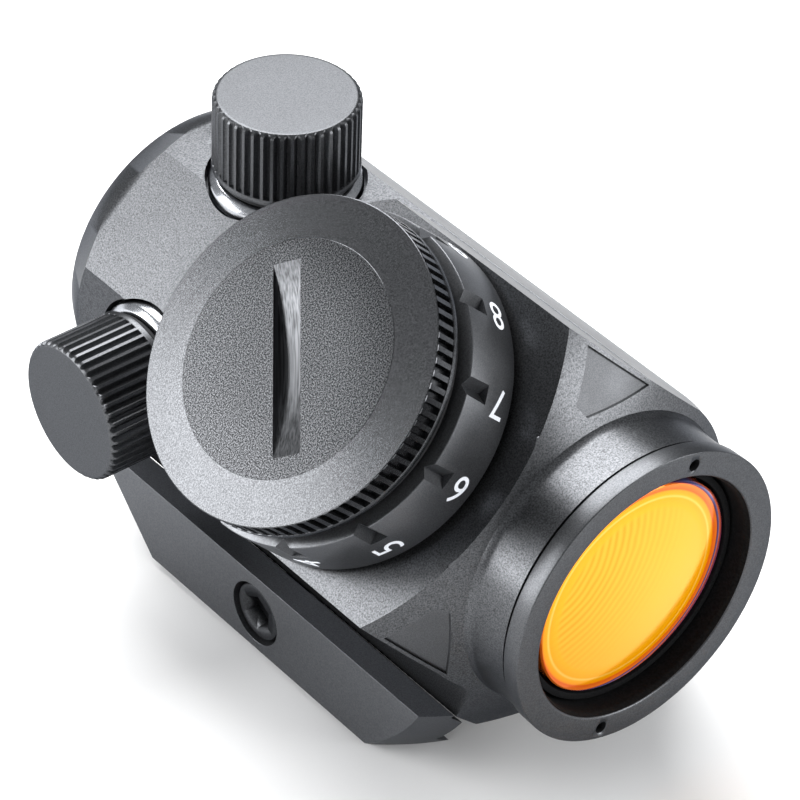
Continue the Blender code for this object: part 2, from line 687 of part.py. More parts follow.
def make_gimbal():
    ring = turned("gimbal_ring", tube_profile(GIMBAL_IN_R, GIMBAL_OUT_R,
                                              GIMBAL_Y - GIMBAL_HALF_WIDTH,
                                              GIMBAL_Y + GIMBAL_HALF_WIDTH),
                  BIG, on_optical_axis())
    radius = GIMBAL_PIN_R + GIMBAL_PIN_CLEARANCE
    reach = GIMBAL_OUT_R + PAST
    cut(ring, cylinder("gimbal_side_cutter", radius, -reach, reach, TINY, on_gimbal(90)),
        cylinder("gimbal_tall_cutter", radius, -reach, reach, TINY, on_gimbal(0)))
    finish(ring, *STEEL)
    for name, turn, low, high in (
            ("gimbal_pin_right", 90, SIDE_PIN_FROM, SIDE_PIN_TO),
            ("gimbal_pin_left", -90, SIDE_PIN_FROM, SIDE_PIN_TO),
            ("gimbal_pin_top", 0, UPRIGHT_PIN_FROM, UPRIGHT_PIN_TO),
            ("gimbal_pin_bottom", 180, UPRIGHT_PIN_FROM, UPRIGHT_PIN_TO)):
        finish(cylinder(name, GIMBAL_PIN_R, low, high, TINY, on_gimbal(turn)), *STEEL)


def make_emitter():
    """Emitter on its holder at the tube's rear, low on the right, looking forward at the lens."""
    axis = Vector((0, 0, AXIS_Z))
    turn = Euler((0, AWAY_TILT, 0))
    outline = [(-HOLDER_HALF_WIDTH, HOLDER_FRONT_Y), (HOLDER_HALF_WIDTH, HOLDER_FRONT_Y),
               (HOLDER_HALF_WIDTH, HOLDER_BACK_Y), (-HOLDER_HALF_WIDTH, HOLDER_BACK_Y)]
    holder = prism("led_holder", outline, HOLDER_FROM, HOLDER_TO, (axis, turn))
    finish(holder, (0.02, 0.02, 0.02), 0.6)
    centre = axis + turn.to_matrix() @ Vector((0, 0, EMITTER_DEPTH))
    emitter = turned("led_emitter", EMITTER_PROFILE, TINY,
                     (centre, Euler((math.radians(-90), 0, 0))))
    finish(emitter, (0.8, 0.05, 0.03), 0.3)


def make_bias_spring():
    spring = coil("bias_spring", BIAS_SPRING_FROM, BIAS_SPRING_TO, BIAS_SPRING_R, BIAS_SPRING_R,
                  BIAS_SPRING_WIRE_R, 3, on_turret(AWAY_TILT))
    finish(spring, *STEEL)


# ---------------------------------------------------------------- turrets

def make_turret(word, tilt):
    """Collar, adjusting screw, plunger, gasket and cap of one turret."""
    place = on_turret(tilt)
    collar = turned(f"{word}_collar",
                    [(COLLAR_BORE_R, COLLAR_BOTTOM), (COLLAR_R, COLLAR_BOTTOM),
                     (COLLAR_R, COLLAR_TOP - COLLAR_EDGE), (COLLAR_R - COLLAR_EDGE, COLLAR_TOP),
                     (COLLAR_NECK_R, COLLAR_TOP), (COLLAR_NECK_R, COLLAR_NECK_TOP),
                     (COLLAR_BORE_R, COLLAR_NECK_TOP)], MEDIUM, place)
    finish(collar, *STEEL)
    screw = cylinder(f"{word}_screw", SCREW_R, SCREW_BOTTOM, SCREW_TOP, SMALL, place)
    half = SCREW_SLOT / 2
    reach = SCREW_R + PAST
    slot = prism(f"{word}_slot_cutter",
                 [(-reach, -half), (reach, -half), (reach, half), (-reach, half)],
                 SCREW_TOP - SCREW_SLOT, SCREW_TOP + PAST, place)
    cut(screw, slot)
    finish(screw, *BRASS)
    plunger = turned(f"{word}_plunger",
                     [(0, PLUNGER_TIP), (PLUNGER_R / 2, PLUNGER_TIP),
                      (PLUNGER_R, PLUNGER_TIP + PLUNGER_CHAMFER), (PLUNGER_R, PLUNGER_TOP),
                      (0, PLUNGER_TOP)], SMALL, place)
    finish(plunger, *STEEL)
    gasket_height = (COLLAR_TOP + CAP_BOTTOM) / 2
    gasket = ring_of_wire(f"{word}_cap_gasket", GASKET_R, gasket_height, GASKET_WIRE_R, MEDIUM,
                          place)
    finish(gasket, *RUBBER)
    cap = turned(f"{word}_cap",
                 [(0, CAP_CAVITY_TOP), (CAP_CAVITY_R, CAP_CAVITY_TOP), (CAP_CAVITY_R, CAP_BOTTOM),
                  (CAP_R, CAP_BOTTOM), (CAP_R, CAP_TOP - CAP_EDGE), (CAP_R - CAP_EDGE, CAP_TOP),
                  (0, CAP_TOP)], MEDIUM, place)
    finish(cap, *ANODISED)


# ---------------------------------------------------------------- dial and battery

def ball_outline(radius, height, steps=6):
    outline = [(0, height - radius)]
    for i in range(1, steps):
        angle = math.pi * i / steps
        outline.append((radius * math.sin(angle), height - radius * math.cos(angle)))
    outline.append((0, height + radius))
    return outline


def make_switch_base():
    """Fixed base and hub under the dial, and the three screws that hold it."""
    base = turned("dial_base",
                  [(HUB_BORE_R, SWITCH_BASE_BOTTOM), (SWITCH_BASE_R, SWITCH_BASE_BOTTOM),
                   (SWITCH_BASE_R, SWITCH_BASE_TOP), (HUB_R, SWITCH_BASE_TOP), (HUB_R, HUB_TOP),
                   (HUB_BORE_R, HUB_TOP)], BIG, on_dial())
    above = SWITCH_BASE_TOP + PAST
    cut(base, dial_hole_cutter("ball_hole_cutter", BALL_HOLE_R, 0, DETENT_R, SWITCH_HOLE_FROM,
                               above))
    hole = [(0, SWITCH_HOLE_FROM), (BASE_SCREW_HOLE_R, SWITCH_HOLE_FROM),
            (BASE_SCREW_HOLE_R, BASE_SCREW_SEAT), (BASE_SCREW_SINK_R, BASE_SCREW_SEAT),
            (BASE_SCREW_SINK_R, above), (0, above)]
    head = SWITCH_BASE_TOP - BASE_SCREW_HEAD_H
    shape = [(0, BASE_SCREW_END), (BASE_SCREW_R, BASE_SCREW_END), (BASE_SCREW_R, head),
             (BASE_SCREW_HEAD_R, head), (BASE_SCREW_HEAD_R, SWITCH_BASE_TOP),
             (0, SWITCH_BASE_TOP)]
    for i, (x, y) in enumerate(dial_screw_places()):
        cut(base, turned(f"base_screw_cutter_{i + 1}", hole, TINY, dial_spot(x, y)))
        finish(turned(f"dial_base_screw_{i + 1}", shape, TINY, dial_spot(x, y)), *STEEL)
    finish(base, (0.03, 0.03, 0.03), 0.5)


def make_switch_board():
    """Round board in its pocket, and the conical spring that meets the cell."""
    board = turned("switch_board", tube_profile(BOARD_HOLE_R, BOARD_R, BOARD_BOTTOM, BOARD_TOP),
                   MEDIUM, on_dial())
    finish(board, (0.02, 0.12, 0.05), 0.5)
    contact = coil("battery_contact", CONTACT_FROM, CONTACT_TO, CONTACT_R_LOW, CONTACT_R_HIGH,
                   CONTACT_WIRE_R, 3, on_dial())
    finish(contact, *BRASS)


def make_detent():
    """Spring-loaded ball under the dial, and the dial's seal."""
    spot = dial_spot(0, DETENT_R)
    finish(turned("detent_ball", ball_outline(BALL_R, BALL_HEIGHT), TINY, spot), *STEEL)
    spring = coil("detent_spring", DETENT_SPRING_FROM, DETENT_SPRING_TO, DETENT_SPRING_R,
                  DETENT_SPRING_R, DETENT_SPRING_WIRE_R, 3, spot)
    finish(spring, *STEEL)
    seal = ring_of_wire("dial_oring", DIAL_SEAL_R, DIAL_SEAL_HEIGHT, DIAL_SEAL_WIRE_R, MEDIUM,
                        on_dial())
    finish(seal, *RUBBER)


def notch_cutter():
    """Twelve upright V-notches in the dial's top outer edge."""
    notches = []
    inner = DIAL_R_TOP - NOTCH_DEPTH
    outer = DIAL_R_TOP + PAST
    half = NOTCH_HALF_WIDTH * (outer - inner) / NOTCH_DEPTH
    location, rotation = on_dial()
    for i in range(NOTCH_COUNT):
        angle = NOTCH_ANGLE + 2 * math.pi * i / NOTCH_COUNT
        turn = rotation.to_matrix() @ Euler((0, 0, angle)).to_matrix()
        outline = [(0, -inner), (-half, -outer), (half, -outer)]
        notches.append(prism(f"notch_cutter_{i + 1}", outline, NOTCH_BOTTOM, DIAL_TOP + PAST,
                             (location, turn.to_euler())))
    return joined(notches)


def dimple_cutter():
    """Twelve dimples under the dial's floor, one for each click."""
    dimples = []
    for i in range(NOTCH_COUNT):
        angle = 2 * math.pi * i / NOTCH_COUNT
        spot = dial_spot(DETENT_R * math.sin(angle), DETENT_R * math.cos(angle))
        dimples.append(turned(f"dimple_cutter_{i + 1}",
                              [(0, DIAL_FLOOR_BOTTOM - DIMPLE_R),
                               (DIMPLE_R, DIAL_FLOOR_BOTTOM - DIMPLE_R),
                               (DIMPLE_R, DIAL_FLOOR_BOTTOM),
                               (0, DIAL_FLOOR_BOTTOM + DIMPLE_DEPTH)], 6, spot))
    return joined(dimples)


def make_dial():
    place = on_dial()
    ring = turned("dial_ring",
                  [(DIAL_HUB_HOLE_R, DIAL_FLOOR_BOTTOM), (DIAL_SKIRT_R, DIAL_FLOOR_BOTTOM),
                   (DIAL_SKIRT_R, DIAL_BOTTOM), (DIAL_R_BOTTOM, DIAL_BOTTOM),
                   (DIAL_R_TOP, DIAL_TOP), (DIAL_CUP_R, DIAL_TOP), (DIAL_CUP_R, DIAL_FLOOR_TOP),
                   (DIAL_HUB_HOLE_R, DIAL_FLOOR_TOP)], BIG, place)
    cut(ring, notch_cutter(), dimple_cutter())
    finish(ring, *ANODISED)
    clip = turned("dial_clip", tube_profile(CLIP_IN_R, CLIP_OUT_R, CLIP_BOTTOM, CLIP_TOP), MEDIUM,
                  place)
    finish(clip, *STEEL)


def make_battery():
    place = on_dial()
    top = BATTERY_BOTTOM + BATTERY_H
    battery = turned("battery",
                     [(0, BATTERY_BOTTOM), (BATTERY_R - BATTERY_STEP, BATTERY_BOTTOM),
                      (BATTERY_R, BATTERY_BOTTOM + BATTERY_EDGE), (BATTERY_R, top), (0, top)],
                     MEDIUM, place)
    finish(battery, *STEEL)


def make_battery_cap():
    place = on_dial()
    lid = turned("battery_cap",
                 [(0, LID_CEILING), (LID_PLUG_IN_R, LID_CEILING),
                  (LID_PLUG_IN_R, LID_PLUG_BOTTOM), (LID_PLUG_R, LID_PLUG_BOTTOM),
                  (LID_PLUG_R, LID_BOTTOM), (LID_R, LID_BOTTOM), (LID_R, LID_RIM - LID_EDGE),
                  (LID_R - LID_EDGE, LID_RIM), (LID_DISC_R, LID_TOP), (0, LID_TOP)], BIG, place)
    turn = Euler((0, DIAL_TILT, 0)).to_matrix() @ Euler((0, 0, COIN_SLOT_ANGLE)).to_matrix()
    length = COIN_SLOT_HALF_LENGTH
    width = COIN_SLOT_HALF_WIDTH
    slot = prism("coin_slot_cutter",
                 [(-length, -width), (length, -width), (length, width), (-length, width)],
                 LID_TOP - COIN_SLOT_DEPTH, LID_TOP + PAST, (place[0], turn.to_euler()))
    cut(lid, slot)
    finish(lid, *ANODISED)
    seal = ring_of_wire("battery_cap_oring", LID_SEAL_R, LID_SEAL_HEIGHT, LID_SEAL_WIRE_R,
                        MEDIUM, place)
    finish(seal, *RUBBER)


# ---------------------------------------------------------------- clamp

def make_clamp_bar(flare):
    """Moving jaw on the left, with the bolt head's counterbore."""
    lip_x = BASE_HALF_WIDTH + GAP
    lip_z = BASE_LEFT_EDGE_Z - CLAMP_LIP_DROP
    inner = RAIL_HALF_WIDTH + CLAMP_SLACK
    outline = [(-JAW_OUTER_X, JAW_TOP_Z), (-JAW_OUTER_X, JAW_BOTTOM_Z + JAW_CORNER),
               (-JAW_OUTER_X + JAW_CORNER, JAW_BOTTOM_Z), (-JAW_TIP_X, JAW_BOTTOM_Z),
               (-inner, RAIL_LOWER_Z), (-inner, lip_z - (lip_x - inner)), (-lip_x, lip_z),
               (-lip_x, JAW_TOP_Z - CLAMP_LIP_EDGE)]
    bar = prism("clamp_bar", outline, -BASE_REAR, BASE_FRONT, section_place())
    cut(bar, rear_bevel_cutter("clamp_rear_cutter"), flare)
    head = cylinder("counterbore_cutter", COUNTERBORE_R, -JAW_OUTER_X - PAST,
                    -JAW_OUTER_X + COUNTERBORE_DEPTH, MEDIUM, across_body(BOLT_Y, BOLT_Z))
    cut(bar, head, bolt_cutter("clamp_hole_cutter"))
    finish(bar, *ANODISED)


def make_cross_bolt():
    """Hex socket bolt through both jaws, and the nut in the fixed one."""
    place = across_body(BOLT_Y, BOLT_Z)
    top = -JAW_OUTER_X + BOLT_HEAD_SUNK
    neck = top + BOLT_HEAD_H
    end = JAW_OUTER_X - NUT_SUNK
    bolt = turned("cross_bolt",
                  [(0, top), (BOLT_HEAD_R - BOLT_HEAD_EDGE, top),
                   (BOLT_HEAD_R, top + BOLT_HEAD_EDGE), (BOLT_HEAD_R, neck), (BOLT_SHANK_R, neck),
                   (BOLT_SHANK_R, end - BOLT_END_CHAMFER),
                   (BOLT_SHANK_R - BOLT_END_CHAMFER, end), (0, end)], SMALL, place)
    cut(bolt, prism("socket_cutter", polygon(BOLT_SOCKET_R, 6), top - PAST,
                    top + BOLT_SOCKET_DEPTH, place))
    finish(bolt, *BLACK_METAL)
    nut = prism("bolt_nut", polygon(NUT_R, 6, math.pi / 6), end - NUT_H, end, place)
    cut(nut, bolt_cutter("nut_thread_cutter"))
    finish(nut, *STEEL)


# ---------------------------------------------------------------- assembly

def main():
    for obj in list(bpy.data.objects):
        bpy.data.objects.remove(obj)
    flare = flare_cutter()
    make_housing(flare)
    make_objective_bezel()
    make_rear_window()
    make_optic_tube()
    make_lens()
    make_gimbal()
    make_emitter()
    make_bias_spring()
    make_turret("elevation", 0)
    make_turret("windage", SIDE_TILT)
    make_switch_base()
    make_switch_board()
    make_detent()
    make_dial()
    make_battery()
    make_battery_cap()
    make_clamp_bar(flare)
    make_cross_bolt()


main()
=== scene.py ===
"""Looks of the compact tube red dot sight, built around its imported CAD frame.

Frame: metres, +Z up, -Y towards the objective, -X towards the windage turret and the clamp bar.
Profiles of turned pieces are lists of (radius, height along the piece's own axis), in millimetres.
"""

import math

import bmesh
import bpy
from mathutils import Euler, Matrix, Vector


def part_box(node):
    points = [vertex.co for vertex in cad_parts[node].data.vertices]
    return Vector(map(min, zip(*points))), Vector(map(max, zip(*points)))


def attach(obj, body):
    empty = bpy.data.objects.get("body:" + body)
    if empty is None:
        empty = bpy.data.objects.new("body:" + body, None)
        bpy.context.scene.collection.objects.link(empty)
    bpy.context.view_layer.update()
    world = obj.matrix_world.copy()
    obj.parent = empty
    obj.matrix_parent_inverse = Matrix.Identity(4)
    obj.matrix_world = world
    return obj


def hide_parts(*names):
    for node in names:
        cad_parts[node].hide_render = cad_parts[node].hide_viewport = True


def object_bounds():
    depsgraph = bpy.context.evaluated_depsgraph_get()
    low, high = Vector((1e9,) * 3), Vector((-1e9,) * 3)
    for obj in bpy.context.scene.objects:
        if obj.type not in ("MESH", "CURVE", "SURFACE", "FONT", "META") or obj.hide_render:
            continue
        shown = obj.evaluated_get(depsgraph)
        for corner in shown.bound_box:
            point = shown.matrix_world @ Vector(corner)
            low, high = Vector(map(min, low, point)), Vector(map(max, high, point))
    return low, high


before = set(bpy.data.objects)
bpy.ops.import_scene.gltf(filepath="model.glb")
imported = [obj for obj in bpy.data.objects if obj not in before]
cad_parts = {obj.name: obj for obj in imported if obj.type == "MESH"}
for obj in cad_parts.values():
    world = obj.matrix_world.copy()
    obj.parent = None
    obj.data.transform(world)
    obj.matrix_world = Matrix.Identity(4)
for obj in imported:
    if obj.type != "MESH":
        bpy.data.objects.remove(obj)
cad_low, cad_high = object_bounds()

MM = 0.001
FINE = 160                          # segments of a large turned piece
ROUND = 96                          # segments of a small turned piece
SHARP = math.radians(30)
WELD_REACH = 0.004 * MM

# Axes, read from the frame
turret_low, turret_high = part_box("elevation_cap")
side_low, side_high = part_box("windage_cap")
AXIS_Z = (side_low.z + side_high.z) / 2
TURRET_Y = (turret_low.y + turret_high.y) / 2
DIAL_CENTRE = (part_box("battery")[0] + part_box("battery")[1]) / 2
DIAL_Y = DIAL_CENTRE.y
DIAL_TILT = math.radians(-45)

# Camera: turn about Z, height above level, turn about its line of sight, then how far and where
CAMERA_AZIMUTH = math.radians(-40.605)
CAMERA_ELEVATION = math.radians(38.747)
CAMERA_ROLL = math.radians(2.157)
CAMERA_DISTANCE = 0.35904
CAMERA_TARGET = Vector((0.004911, -0.010226, 0.009809))
CAMERA_LENS = 183.94
CAMERA_SENSOR = 36
CAMERA_CLIP = 0.01

# Light and floor
LIGHT_AIM = Vector((0, -17 * MM, 12 * MM))
LIGHT_DISTANCE = 0.5
FLOOR_HALF = 3.0
FLOOR_COLOUR = (0.93, 0.93, 0.93, 1)
SKY_COLOUR = (0.96, 0.98, 1.0, 1)
SKY_STRENGTH = 0.4

# Shared by a material and its piece
LENS_R = 10.1
SLOT_ANGLE = math.radians(42.4)     # of the battery cap's coin slot, in the dial's frame


# ---------------------------------------------------------------- camera, floor and light

def make_camera():
    data = bpy.data.cameras.new("photo_camera")
    data.lens = CAMERA_LENS
    data.sensor_width = CAMERA_SENSOR
    data.clip_start = CAMERA_CLIP
    camera = bpy.data.objects.new("photo_camera", data)
    bpy.context.scene.collection.objects.link(camera)
    turn = (Matrix.Rotation(CAMERA_AZIMUTH, 4, "Z")
            @ Matrix.Rotation(math.pi / 2 - CAMERA_ELEVATION, 4, "X")
            @ Matrix.Rotation(CAMERA_ROLL, 4, "Z"))
    back = turn.to_3x3() @ Vector((0, 0, 1))
    camera.matrix_world = Matrix.Translation(CAMERA_TARGET + CAMERA_DISTANCE * back) @ turn
    bpy.context.scene.camera = camera


def softbox(name, direction, width, height, radiance):
    """A rectangular area light in that direction from the sight, facing it."""
    data = bpy.data.lights.new(name, "AREA")
    data.shape = "RECTANGLE"
    data.size = width
    data.size_y = height
    data.energy = radiance * math.pi * width * height
    light = bpy.data.objects.new(name, data)
    bpy.context.scene.collection.objects.link(light)
    away = Vector(direction).normalized()
    light.location = LIGHT_AIM + away * LIGHT_DISTANCE
    light.rotation_euler = away.to_track_quat("Z", "Y").to_euler()


def make_floor():
    bm = bmesh.new()
    bmesh.ops.create_grid(bm, x_segments=2, y_segments=2, size=FLOOR_HALF)
    mesh = bpy.data.meshes.new("studio_floor")
    bm.to_mesh(mesh)
    bm.free()
    floor = bpy.data.objects.new("studio_floor", mesh)
    floor.location.z = cad_low[2]
    bpy.context.scene.collection.objects.link(floor)
    material, _, _, shader = new_material("pale_floor")
    shader.inputs["Base Color"].default_value = FLOOR_COLOUR
    shader.inputs["Roughness"].default_value = 0.9
    shader.inputs["Specular IOR Level"].default_value = 0.1
    mesh.materials.append(material)


def make_light():
    world = bpy.data.worlds.new("studio")
    world.use_nodes = True
    background = world.node_tree.nodes["Background"]
    background.inputs["Color"].default_value = SKY_COLOUR
    background.inputs["Strength"].default_value = SKY_STRENGTH
    bpy.context.scene.world = world
    bpy.context.scene.view_settings.view_transform = "Standard"
    softbox("key_above_back", (0.19, 0.55, 0.81), width=0.44, height=0.32, radiance=10.5)
    softbox("low_left_back", (-0.76, 0.58, 0.28), width=0.28, height=0.28, radiance=9.5)
    softbox("right_front", (0.58, -0.76, 0.30), width=0.34, height=0.24, radiance=7.0)
    softbox("left_fill", (-0.93, -0.32, 0.20), width=0.24, height=0.16, radiance=3.5)


# ---------------------------------------------------------------- materials

GRAIN_DEPTH = 0.02 * MM             # height of a finish's grain
EDGE_TINT = (0.4, 0.41, 0.43, 1)    # how much a finish mirrors at a grazing angle
SLOT_LINE = (8 * MM, 0.16 * MM, 0.16 * MM)      # long along the slot, fine across it
SLOT_LINE_DEPTH = 0.01 * MM

# The coating's amber, darker and lighter; the lighter stripes between them are painted reflection
# bands
AMBER = ((1.0, 0.33, 0.0), (1.0, 0.45, 0.015))
REFLECTION_BAND_OFFSET = (11, 8)               # the painted reflection bands' centre lies this far up and left of the lens's
REFLECTION_BAND_SCALE = 420
REFLECTION_BAND_FADE = (9 * MM, 17 * MM)       # full painted reflection bands to none, by distance from that centre
PLAIN_SHARE = 0.9                   # how light the amber is where the painted reflection bands are gone
RIM_OFFSET = (0.62, 0.34)           # pushes the coloured rim to the lens's lower right
RIM = (                             # share of the reach, colour, cover
    (0.70, (1, 0.42, 0.01), 0.0),
    (0.74, (1, 0.42, 0.0), 0.8),
    (0.80, (1, 0.38, 0.0), 1.0),
    (0.815, (1, 0.56, 0.08), 1.0),
    (0.83, (1, 0.40, 0.0), 1.0),
    (0.86, (1, 0.33, 0.0), 1.0),
    (0.875, (0.85, 0.13, 0.01), 1.0),
    (0.915, (1.0, 0.22, 0.02), 1.0),
    (0.925, (0.10, 0.02, 0.08), 1.0),
    (0.94, (0.12, 0.16, 0.38), 1.0),
    (0.95, (0.85, 0.16, 0.03), 1.0),
    (0.975, (0.14, 0.02, 0.08), 1.0),
    (1.0, (0.8, 0.2, 0.4), 1.0),
)


def new_material(name):
    material = bpy.data.materials.new(name)
    material.use_nodes = True
    tree = material.node_tree
    return material, tree.nodes, tree.links, tree.nodes["Principled BSDF"]


def surface_noise(nodes, links, scale, detail=2.0):
    """Fine noise in the piece's own coordinates, in metres."""
    place = nodes.new("ShaderNodeTexCoord")
    noise = nodes.new("ShaderNodeTexNoise")
    noise.inputs["Scale"].default_value = scale
    noise.inputs["Detail"].default_value = detail
    links.new(place.outputs["Object"], noise.inputs["Vector"])
    return noise.outputs["Fac"]


def spread(nodes, links, value, low, high, to_low, to_high):
    """Map a value from low..high to to_low..to_high."""
    node = nodes.new("ShaderNodeMapRange")
    for name, number in (("From Min", low), ("From Max", high),
                         ("To Min", to_low), ("To Max", to_high)):
        node.inputs[name].default_value = number
    links.new(value, node.inputs["Value"])
    return node.outputs["Result"]


def two_colours(nodes, links, share, dark, light):
    mix = nodes.new("ShaderNodeMix")
    mix.data_type = "RGBA"
    mix.inputs["A"].default_value = (*dark, 1)
    mix.inputs["B"].default_value = (*light, 1)
    links.new(share, mix.inputs["Factor"])
    return mix.outputs["Result"]


def bumped(nodes, links, height, distance, strength):
    bump = nodes.new("ShaderNodeBump")
    bump.inputs["Distance"].default_value = distance
    bump.inputs["Strength"].default_value = strength
    links.new(height, bump.inputs["Height"])
    return bump.outputs["Normal"]


def grained(name, dark, light, roughness, metallic, grain, contrast, bump, wear=0.15, middle=0.5):
    """Blasted or anodised metal: speckled grain, faint clouds and slightly varied gloss."""
    material, nodes, links, shader = new_material(name)
    fine = surface_noise(nodes, links, grain, 1.0)
    cloud = surface_noise(nodes, links, grain / 40, 3.0)
    share = spread(nodes, links, fine, middle - contrast, middle + contrast, 0, 1)
    links.new(two_colours(nodes, links, share, dark, light), shader.inputs["Base Color"])
    links.new(spread(nodes, links, cloud, 0.3, 0.7, roughness - wear * 0.3, roughness + wear * 0.3),
              shader.inputs["Roughness"])
    shader.inputs["Metallic"].default_value = metallic
    shader.inputs["Specular Tint"].default_value = EDGE_TINT
    links.new(bumped(nodes, links, fine, GRAIN_DEPTH, bump), shader.inputs["Normal"])
    return material


def matt(material):
    """Take most of the gloss off a finish."""
    shader = material.node_tree.nodes["Principled BSDF"]
    shader.inputs["Specular IOR Level"].default_value = 0.12
    return material


def machined(name, dark, light):
    """Bare metal with cutter lines along the slot, in the dial's own coordinates."""
    material, nodes, links, shader = new_material(name)
    place = nodes.new("ShaderNodeTexCoord")
    along = nodes.new("ShaderNodeMapping")
    along.vector_type = "TEXTURE"
    along.inputs["Rotation"].default_value = (0, 0, SLOT_ANGLE)
    along.inputs["Scale"].default_value = SLOT_LINE
    links.new(place.outputs["Object"], along.inputs["Vector"])
    lines = nodes.new("ShaderNodeTexNoise")
    lines.inputs["Scale"].default_value = 1.0
    links.new(along.outputs["Vector"], lines.inputs["Vector"])
    share = spread(nodes, links, lines.outputs["Fac"], 0.3, 0.7, 0, 1)
    links.new(two_colours(nodes, links, share, dark, light), shader.inputs["Base Color"])
    shader.inputs["Metallic"].default_value = 0.95
    shader.inputs["Roughness"].default_value = 0.3
    ridges = bumped(nodes, links, lines.outputs["Fac"], SLOT_LINE_DEPTH, 0.3)
    links.new(ridges, shader.inputs["Normal"])
    return material


def grey(level):
    """A cool grey of that linear level."""
    return (level * 0.97, level, level * 1.06)


def lens_offset(nodes, links, x, y):
    """The lens's own coordinates without their depth, measured from a point (-x, -y) mm."""
    place = nodes.new("ShaderNodeTexCoord")
    offset = nodes.new("ShaderNodeMapping")
    offset.inputs["Location"].default_value = (x * MM, y * MM, 0)
    offset.inputs["Scale"].default_value = (1, 1, 0)
    links.new(place.outputs["Object"], offset.inputs["Vector"])
    return offset.outputs["Vector"]


def length_of(nodes, links, vector):
    reach = nodes.new("ShaderNodeVectorMath")
    reach.operation = "LENGTH"
    links.new(vector, reach.inputs[0])
    return reach.outputs["Value"]


def lens_bands(nodes, links):
    """Painted reflection: fine curved light bands, strongest at the lens's upper left and gone at
    its right.
    """
    far = lens_offset(nodes, links, *REFLECTION_BAND_OFFSET)
    waves = nodes.new("ShaderNodeTexWave")
    waves.wave_type = "RINGS"
    waves.rings_direction = "SPHERICAL"
    waves.inputs["Scale"].default_value = REFLECTION_BAND_SCALE
    waves.inputs["Distortion"].default_value = 1.5
    waves.inputs["Detail"].default_value = 1.0
    links.new(far, waves.inputs["Vector"])
    fade = spread(nodes, links, length_of(nodes, links, far), *REFLECTION_BAND_FADE, 0, 1)
    mix = nodes.new("ShaderNodeMix")
    mix.inputs["B"].default_value = PLAIN_SHARE
    links.new(waves.outputs["Fac"], mix.inputs["A"])
    links.new(fade, mix.inputs["Factor"])
    return mix.outputs["Result"]


def lens_rim(nodes, links):
    """Colour and cover of the rim: yellow, orange, purple, blue and pink arcs at the right."""
    reach = length_of(nodes, links, lens_offset(nodes, links, *RIM_OFFSET))
    full = (LENS_R + math.hypot(*RIM_OFFSET)) * MM
    share = spread(nodes, links, reach, 0, full, 0, 1)
    ramp = nodes.new("ShaderNodeValToRGB")
    stops = ramp.color_ramp.elements
    for i, (where, colour, cover) in enumerate(RIM):
        stop = stops[i] if i < len(stops) else stops.new(where)
        stop.position = where
        stop.color = (*colour, cover)
    links.new(share, ramp.inputs["Fac"])
    return ramp.outputs["Color"], ramp.outputs["Alpha"]


def make_lens_coating():
    """Amber coating over the whole front of the lens, with painted reflection bands in it."""
    material, nodes, links, shader = new_material("amber_coating")
    amber = two_colours(nodes, links, lens_bands(nodes, links), *AMBER)
    rim, cover = lens_rim(nodes, links)
    both = nodes.new("ShaderNodeMix")
    both.data_type = "RGBA"
    links.new(cover, both.inputs["Factor"])
    links.new(amber, both.inputs["A"])
    links.new(rim, both.inputs["B"])
    links.new(both.outputs["Result"], shader.inputs["Base Color"])
    shader.inputs["Metallic"].default_value = 0.35
    shader.inputs["Roughness"].default_value = 0.12
    shader.inputs["Specular IOR Level"].default_value = 0.2
    shader.inputs["Coat Weight"].default_value = 0.04
    shader.inputs["Coat Roughness"].default_value = 0.02
    return material


def make_glass(name, colour, roughness):
    material, nodes, links, shader = new_material(name)
    tint = surface_noise(nodes, links, 90)
    faint = tuple(0.96 * c for c in colour)
    links.new(two_colours(nodes, links, tint, faint, colour), shader.inputs["Base Color"])
    shader.inputs["Roughness"].default_value = roughness
    shader.inputs["Transmission Weight"].default_value = 1.0
    shader.inputs["IOR"].default_value = 1.5
    return material


